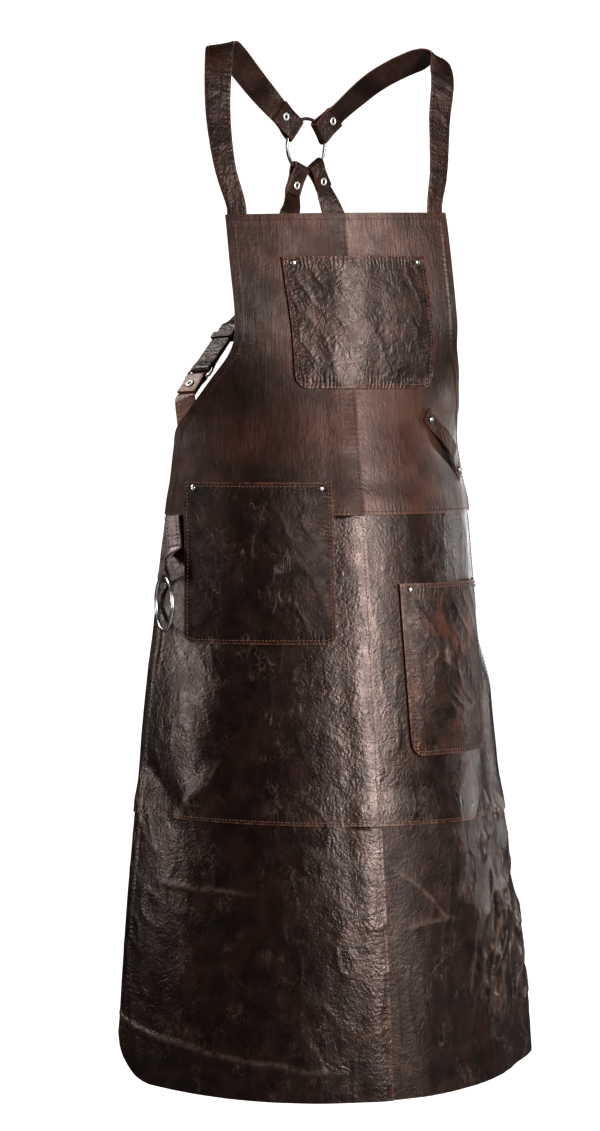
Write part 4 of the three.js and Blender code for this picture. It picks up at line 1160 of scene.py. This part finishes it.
# Back straps
# From the back ring down to the side buckles, where each is folded round the upper bar and runs back as a
# long tail. They are slack and well wrinkled.
BACK_WIDTH = 24
BACK_RING_WIDTH = 20
BUCKLE_TAIL = 62
TAIL_MARGIN = 5
BACK_RUNS = {
    "left": [
        ((-8, 86, -162), (-0.1, 1, 0.1), BACK_WIDTH),
        ((-42, 82, -228), (-0.75, 0.65, 0.5), BACK_WIDTH),
        ((-80, 69, -279), (-0.82, -0.15, 0.6), BACK_WIDTH),
    ],
    "right": [
        ((44, 87, -162), (0.1, 1, 0.1), BACK_WIDTH),
        ((66, 82, -228), (0.75, 0.65, 0.5), BACK_WIDTH),
        ((88, 69, -279), (0.82, -0.15, 0.6), BACK_WIDTH),
    ],
}
strap_lines = []
for side_name, side in SIDES:
    centre, run, face, across = buckle_frame(side)
    upper_bar = centre + run * BUCKLE["half_height"]
    doubled = fold_round(
        upper_bar, run, face, BUCKLE["wire"], 0, STRAP_LEATHER,
        BUCKLE_TAIL, BUCKLE_TAIL + TAIL_MARGIN, BACK_WIDTH,
    )
    ring = ring_end(f"lower_{side_name}", BACK_RING_WIDTH)[::-1]
    free = smooth_run([ring[-1], *BACK_RUNS[side_name], doubled[0]], BAND_STEPS)
    stations = ring[:-1] + free + doubled[1:]
    band(f"back_strap_{side_name}", stations, STRAP_LEATHER, strap_leather, STRAP_WRINKLE)
    strap_lines += [band_line(free, STRAP_EDGE_STITCH, edge, STRAP_LEATHER) for edge in (-1, 1)]
sew("back_strap_stitches", strap_lines, dark_thread, "strap_leather")

# Keepers
# Flat leather sleeves that hold the doubled ends of the back straps together. They keep their solids' shape
# and only take the strap leather.
for side_name in ("left", "right"):
    keeper = bpy.data.objects.get(f"keeper_{side_name}")
    for slot in keeper.material_slots:
        slot.material = strap_leather

# Side tabs
# Short straps of lighter, redder leather, sewn inside the bib's lower corners and folded round the buckles.
TAB_TAIL = 24
TAB_RIVET = 13
TAB_WRINKLE = 0.2
TAB_SEWN = {"inset": 14, "level": -404, "drop": 28, "clear": 1.95}
tab_leather = grain_leather("reddish_strap_cowhide", {
    **strap_look, "brown": "#7a5545", "dark": "#553a2f", "red": "#7d4c3a", "edge": "#80584a",
    "wrinkle": 0.12,
})
for side_name, side in SIDES:
    centre, run, face, across = buckle_frame(side)
    tab_end = fold_round(
        centre - run * BUCKLE["half_height"], -run, -face, BUCKLE["wire"], 0, STRAP_LEATHER, TAB_TAIL,
        TAB_TAIL + TAIL_MARGIN, BACK_WIDTH,
    )
    level = np.array([TAB_SEWN["level"] - TAB_SEWN["drop"], TAB_SEWN["level"]], float)
    s = side * (section_value(level, "half_width") - TAB_SEWN["inset"])
    inside = apron_point(s, level, -TAB_SEWN["clear"] - STRAP_LEATHER / 2)
    rows = [(at, -facing, BACK_WIDTH) for at, facing in zip(inside, apron_face(s, level))]
    stations = smooth_run([*rows, tab_end[0]], BAND_STEPS) + tab_end[1:]
    band(f"side_tab_{side_name}", stations, STRAP_LEATHER, tab_leather, TAB_WRINKLE)

# Eyelet rivets
# Hollow steel rivets through the folded strap ends, on both sides at the back ring and outside on the tabs.
# Each hollow is closed by a near-black disc, which is painted shade for the dark inside of the rivet.
EYELET = {"Radius": 3.3, "Wire": 1.3, "Height": 0.8}
TAB_EYELET_GAP = 2.2 * GAP
nickel = polished_steel("satin_nickel", "#f0eeea", 0.50)
painted_shade_hole = thread("eyelet_hole_painted_shade", "#0d0908")

eyelet_tree, given = new_tree("eyelets", ("Radius", "Wire", "Height"), ("Steel", "Hole"))
upright = upright_turn(eyelet_tree)
hoop = add_node(eyelet_tree, "GeometryNodeCurvePrimitiveCircle", {
    "Resolution": 32, "Radius": given["Radius"],
})
section = add_node(eyelet_tree, "GeometryNodeCurvePrimitiveCircle", {
    "Resolution": 12, "Radius": given["Wire"],
})
collar = add_node(eyelet_tree, "GeometryNodeCurveToMesh", {0: hoop, 1: section})
# the near-black disc in the collar: painted shade for the hollow
plug = add_node(eyelet_tree, "GeometryNodeMeshCylinder", {
    "Vertices": 24, "Radius": given["Radius"], "Depth": given["Height"],
})
both = add_node(eyelet_tree, "GeometryNodeJoinGeometry")
for shape, material in ((collar, given["Steel"]), (plug, given["Hole"])):
    placed = add_node(eyelet_tree, "GeometryNodeInstanceOnPoints", {
        "Points": given["Geometry"], "Instance": shape, "Rotation": upright,
    })
    eyelet_tree.links.new(made_real(eyelet_tree, placed, material), both.node.inputs[0])
add_node(eyelet_tree, "NodeGroupOutput", {0: both})

eyelet_seats = []
eyelet_nodes = []
off = 2 * GAP + STRAP_LEATHER
for level_name, strap in (("upper", "shoulder_strap"), ("lower", "back_strap")):
    for side_name, _ in SIDES:
        run = ring_run(f"{level_name}_{side_name}")
        seat = ring_centre + run * (BACK_RING["radius"] + RING_RIVET)
        for end_name, sign in (("inside", -1), ("outside", 1)):
            eyelet_seats.append(((seat + sign * off * ring_back)[None], (sign * ring_back)[None]))
            eyelet_nodes.append(f"{strap}_{side_name}_rivet_{end_name}")
for side_name, side in SIDES:
    centre, run, face, across = buckle_frame(side)
    seat = centre - run * (BUCKLE["half_height"] + TAB_RIVET) + face * (TAB_EYELET_GAP + STRAP_LEATHER)
    eyelet_seats.append((seat[None], face[None]))
    eyelet_nodes.append(f"side_tab_{side_name}_rivet")
settings = {key: value / 1000 for key, value in EYELET.items()}
settings.update({"Steel": nickel, "Hole": painted_shade_hole})
piece = grow("strap_eyelets", eyelet_seats, eyelet_tree, settings)
settle(piece, "steel", *eyelet_nodes)

# Tool loop
# A slanting strip on the right of the bib, riveted at both ends and standing off between them.
TOOL_LOOP = {
    "width": 17, "from_s": 93, "from_level": -377, "to_s": 172, "to_level": -441, "bulge": 5, "inset": 8,
}
TOOL_RISE = (0.12, 0.42)
LOOP_LEATHER = 1.6
TOOL_STEPS = 60
TOOL_WRINKLE = 0.3


def tool_place(t):
    s = mix(TOOL_LOOP["from_s"], TOOL_LOOP["to_s"], t)
    level = mix(TOOL_LOOP["from_level"], TOOL_LOOP["to_level"], t)
    lift = LEATHER + 3 * GAP + LOOP_LEATHER / 2
    return s, level, lift + TOOL_LOOP["bulge"] * smoothstep(np.minimum(t, 1 - t), *TOOL_RISE)


s, level, lift = tool_place(np.linspace(0, 1, TOOL_STEPS))
middle = apron_point(s, level, lift)
stations = [(at, face, TOOL_LOOP["width"]) for at, face in zip(middle, apron_face(s, level))]
band("tool_loop", stations, LOOP_LEATHER, strap_leather, TOOL_WRINKLE)
inset = TOOL_LOOP["inset"] / np.linalg.norm(middle[-1] - middle[0])
s, level, lift = tool_place(np.array([inset, 1 - inset]))
seats = apron_point(s, level, lift + LOOP_LEATHER / 2 + GAP)
faces = apron_face(s, level)
rivet("tool_loop_rivets", [(seats[:1], faces[:1]), (seats[1:], faces[1:])],
      ["tool_loop_rivet_upper", "tool_loop_rivet_lower"])

# Towel loop and ring
# A doubled leather loop hangs from the left end of the waist seam, and a steel ring swings in its eye.
TOWEL_LOOP = {
    "width": 18, "eye_width": 12, "inset": 11, "eye": (-195, -12, -543), "eye_slack": 1.7, "fold": 14,
}
TOWEL_TOP = 1.2
TOWEL_WRINKLE = 0.1
TOWEL_STITCH = 3
TOWEL_DROPS = np.array([0, 16, 33], float)
TOWEL_RING = {"radius": 27.5, "wire": 2, "turn": -95}
# The loop's pale grey-lilac colours are painted sheen: they stand for the gloss of the left-hand lights on
# its face.
sheen_painted_loop_leather = grain_leather("loop_cowhide_painted_sheen", {
    **strap_look, "brown": "#857778", "dark": "#6b5d5e", "red": "#7a6a69", "edge": "#4a3c3a",
    "wrinkle": 0.06, "soft": 0.2, "rough": (0.28, 0.36), "shine": 0.5,
})
# The loop's cut edges are drawn near black-brown.
dark_edge = plain_leather("dark_loop_edge", "#241814", "#38261f", 1.5, 0.1, 0.7)
turn = math.radians(TOWEL_RING["turn"])
towel_across = np.array([math.cos(turn), math.sin(turn), 0])
towel_face = np.array([math.sin(turn), -math.cos(turn), 0])
towel_eye = np.array(TOWEL_LOOP["eye"], float)
towel_up = np.array([0, 0, 1.0])
eye_wire = TOWEL_RING["wire"] + TOWEL_LOOP["eye_slack"]
towel_fold = fold_round(
    towel_eye, towel_up, towel_face, eye_wire, 0, LOOP_LEATHER,
    TOWEL_LOOP["fold"], TOWEL_LOOP["fold"], TOWEL_LOOP["eye_width"],
)


def towel_rows(layer):
    level = WAIST - LAP / 2 - TOWEL_TOP
    s = np.full(3, -(float(section_value(level, "half_width")) - TOWEL_LOOP["inset"]))
    lift = LEATHER + TURNED_LIFT + 3 * GAP + LOOP_LEATHER / 2 + layer * (LOOP_LEATHER + GAP)
    facing = apron_face(s, level - TOWEL_DROPS) * (1 if layer else -1)
    at = apron_point(s, level - TOWEL_DROPS, lift)
    return [(point, face, TOWEL_LOOP["width"]) for point, face in zip(at, facing)]


outer_run = smooth_run([*towel_rows(1), towel_fold[0]], BAND_STEPS)
inner_run = smooth_run([towel_fold[-1], *towel_rows(0)[::-1]], BAND_STEPS)
stations = outer_run + towel_fold[1:-1] + inner_run
band("towel_loop", stations, LOOP_LEATHER, sheen_painted_loop_leather, TOWEL_WRINKLE, dark_edge)
lines = [band_line(outer_run, TOWEL_STITCH, edge, LOOP_LEATHER) for edge in (-1, 1)]
sew("towel_loop_stitches", lines, dark_thread, "strap_leather")
towel_centre = towel_eye - TOWEL_RING["radius"] * towel_up
piece = wire_ring(
    "towel_ring_wire", towel_centre, towel_across, towel_up, TOWEL_RING["radius"], TOWEL_RING["wire"], steel,
)
settle(piece, "steel", "towel_ring", body="towel_ring")

# Studio
# A pale floor below the hem, a white surround, and eight area lights: strips at the front and both sides, and
# boxes for the front right, the bib and the straps.
FLOOR_Z = -1.42
FLOOR_REACH = 30
floor_mesh = bpy.data.meshes.new("studio_floor")
corners = ((-1, -1), (1, -1), (1, 1), (-1, 1))
corners = [(x * FLOOR_REACH, y * FLOOR_REACH, FLOOR_Z) for x, y in corners]
floor_mesh.from_pydata(corners, [], [(0, 1, 2, 3)])
floor_material, tree = new_material("pale_floor")
direct = add_node(tree, "ShaderNodeLightPath", output="Is Camera Ray")
shader = add_node(tree, "ShaderNodeBsdfPrincipled", {
    "Base Color": (0.6, 0.6, 0.6, 1), "Roughness": 0.9, "Emission Color": (1, 1, 1, 1),
    "Emission Strength": direct,
})
add_node(tree, "ShaderNodeOutputMaterial", {0: shader})
floor_mesh.materials.append(floor_material)
floor = add_object("studio_floor", floor_mesh)

world = bpy.data.worlds.new("white_studio")
world.use_nodes = True
world.node_tree.nodes.clear()
seen = add_node(world.node_tree, "ShaderNodeBackground", {"Color": (1, 1, 1, 1), "Strength": 1.0})
lighting = add_node(world.node_tree, "ShaderNodeBackground", {"Color": (1, 1, 1, 1), "Strength": 0.015})
direct = add_node(world.node_tree, "ShaderNodeLightPath", output="Is Camera Ray")
surround = add_node(world.node_tree, "ShaderNodeMixShader", {0: direct, 1: lighting, 2: seen})
add_node(world.node_tree, "ShaderNodeOutputWorld", {0: surround})
bpy.context.scene.world = world

# columns: name, at, aim, width, height, spread, watts
LIGHTS = [
    ("front_strip", (0.64, -2.21, -0.20), (0, 0, -0.42), 0.45, 1.2, 120, 22),
    ("front_right_box", (1.30, -1.90, 0.10), (0, 0, -0.30), 0.9, 1.0, 90, 4),
    ("left_upper_strip", (-1.60, -0.06, -0.16), (0, 0, -0.50), 0.32, 0.32, 100, 0.9),
    ("left_lower_strip", (-1.57, 0.12, -0.52), (0, 0, -0.60), 0.15, 0.40, 100, 1.1),
    ("right_strip", (1.67, 0.30, -0.40), (0, 0, -0.55), 0.12, 1.2, 120, 2.0),
    ("right_back_strip", (1.25, 1.15, -0.25), (0, 0, -0.50), 0.45, 0.8, 120, 1.6),
    ("bib_box", (-0.5, -1.6, 0.55), (0, -0.06, -0.28), 0.8, 0.8, 55, 0.3),
    ("left_back_box", (-1.0, 1.1, 0.9), (-0.1, 0.05, -0.2), 0.8, 0.8, 90, 7),
]
for name, at, aim, width, height, spread, watts in LIGHTS:
    light = bpy.data.lights.new(name, "AREA")
    light.shape = "RECTANGLE"
    light.size = width
    light.size_y = height
    light.spread = math.radians(spread)
    light.energy = watts
    lamp = add_object(name, light)
    lamp.location = at
    lamp.rotation_euler = (Vector(aim) - Vector(at)).to_track_quat("-Z", "Y").to_euler()

# Camera
# At the height of the skirt, a little to the left of the front.
CAMERA_AZIMUTH = math.radians(-25)
CAMERA_ELEVATION = math.radians(2.7)
CAMERA_TARGET = Vector((-0.050, -0.030, -0.5334))
CAMERA_DISTANCE = 3.5
back = Vector((
    math.sin(CAMERA_AZIMUTH) * math.cos(CAMERA_ELEVATION),
    -math.cos(CAMERA_AZIMUTH) * math.cos(CAMERA_ELEVATION),
    math.sin(CAMERA_ELEVATION),
))
lens = bpy.data.cameras.new("camera")
lens.lens = 107.5
camera = add_object("camera", lens)
camera.location = CAMERA_TARGET + back * CAMERA_DISTANCE
camera.rotation_euler = (-back).to_track_quat("-Z", "Y").to_euler()
bpy.context.scene.camera = camera
bpy.context.scene.view_settings.view_transform = "Standard"
bpy.context.scene.view_settings.look = "Medium High Contrast"
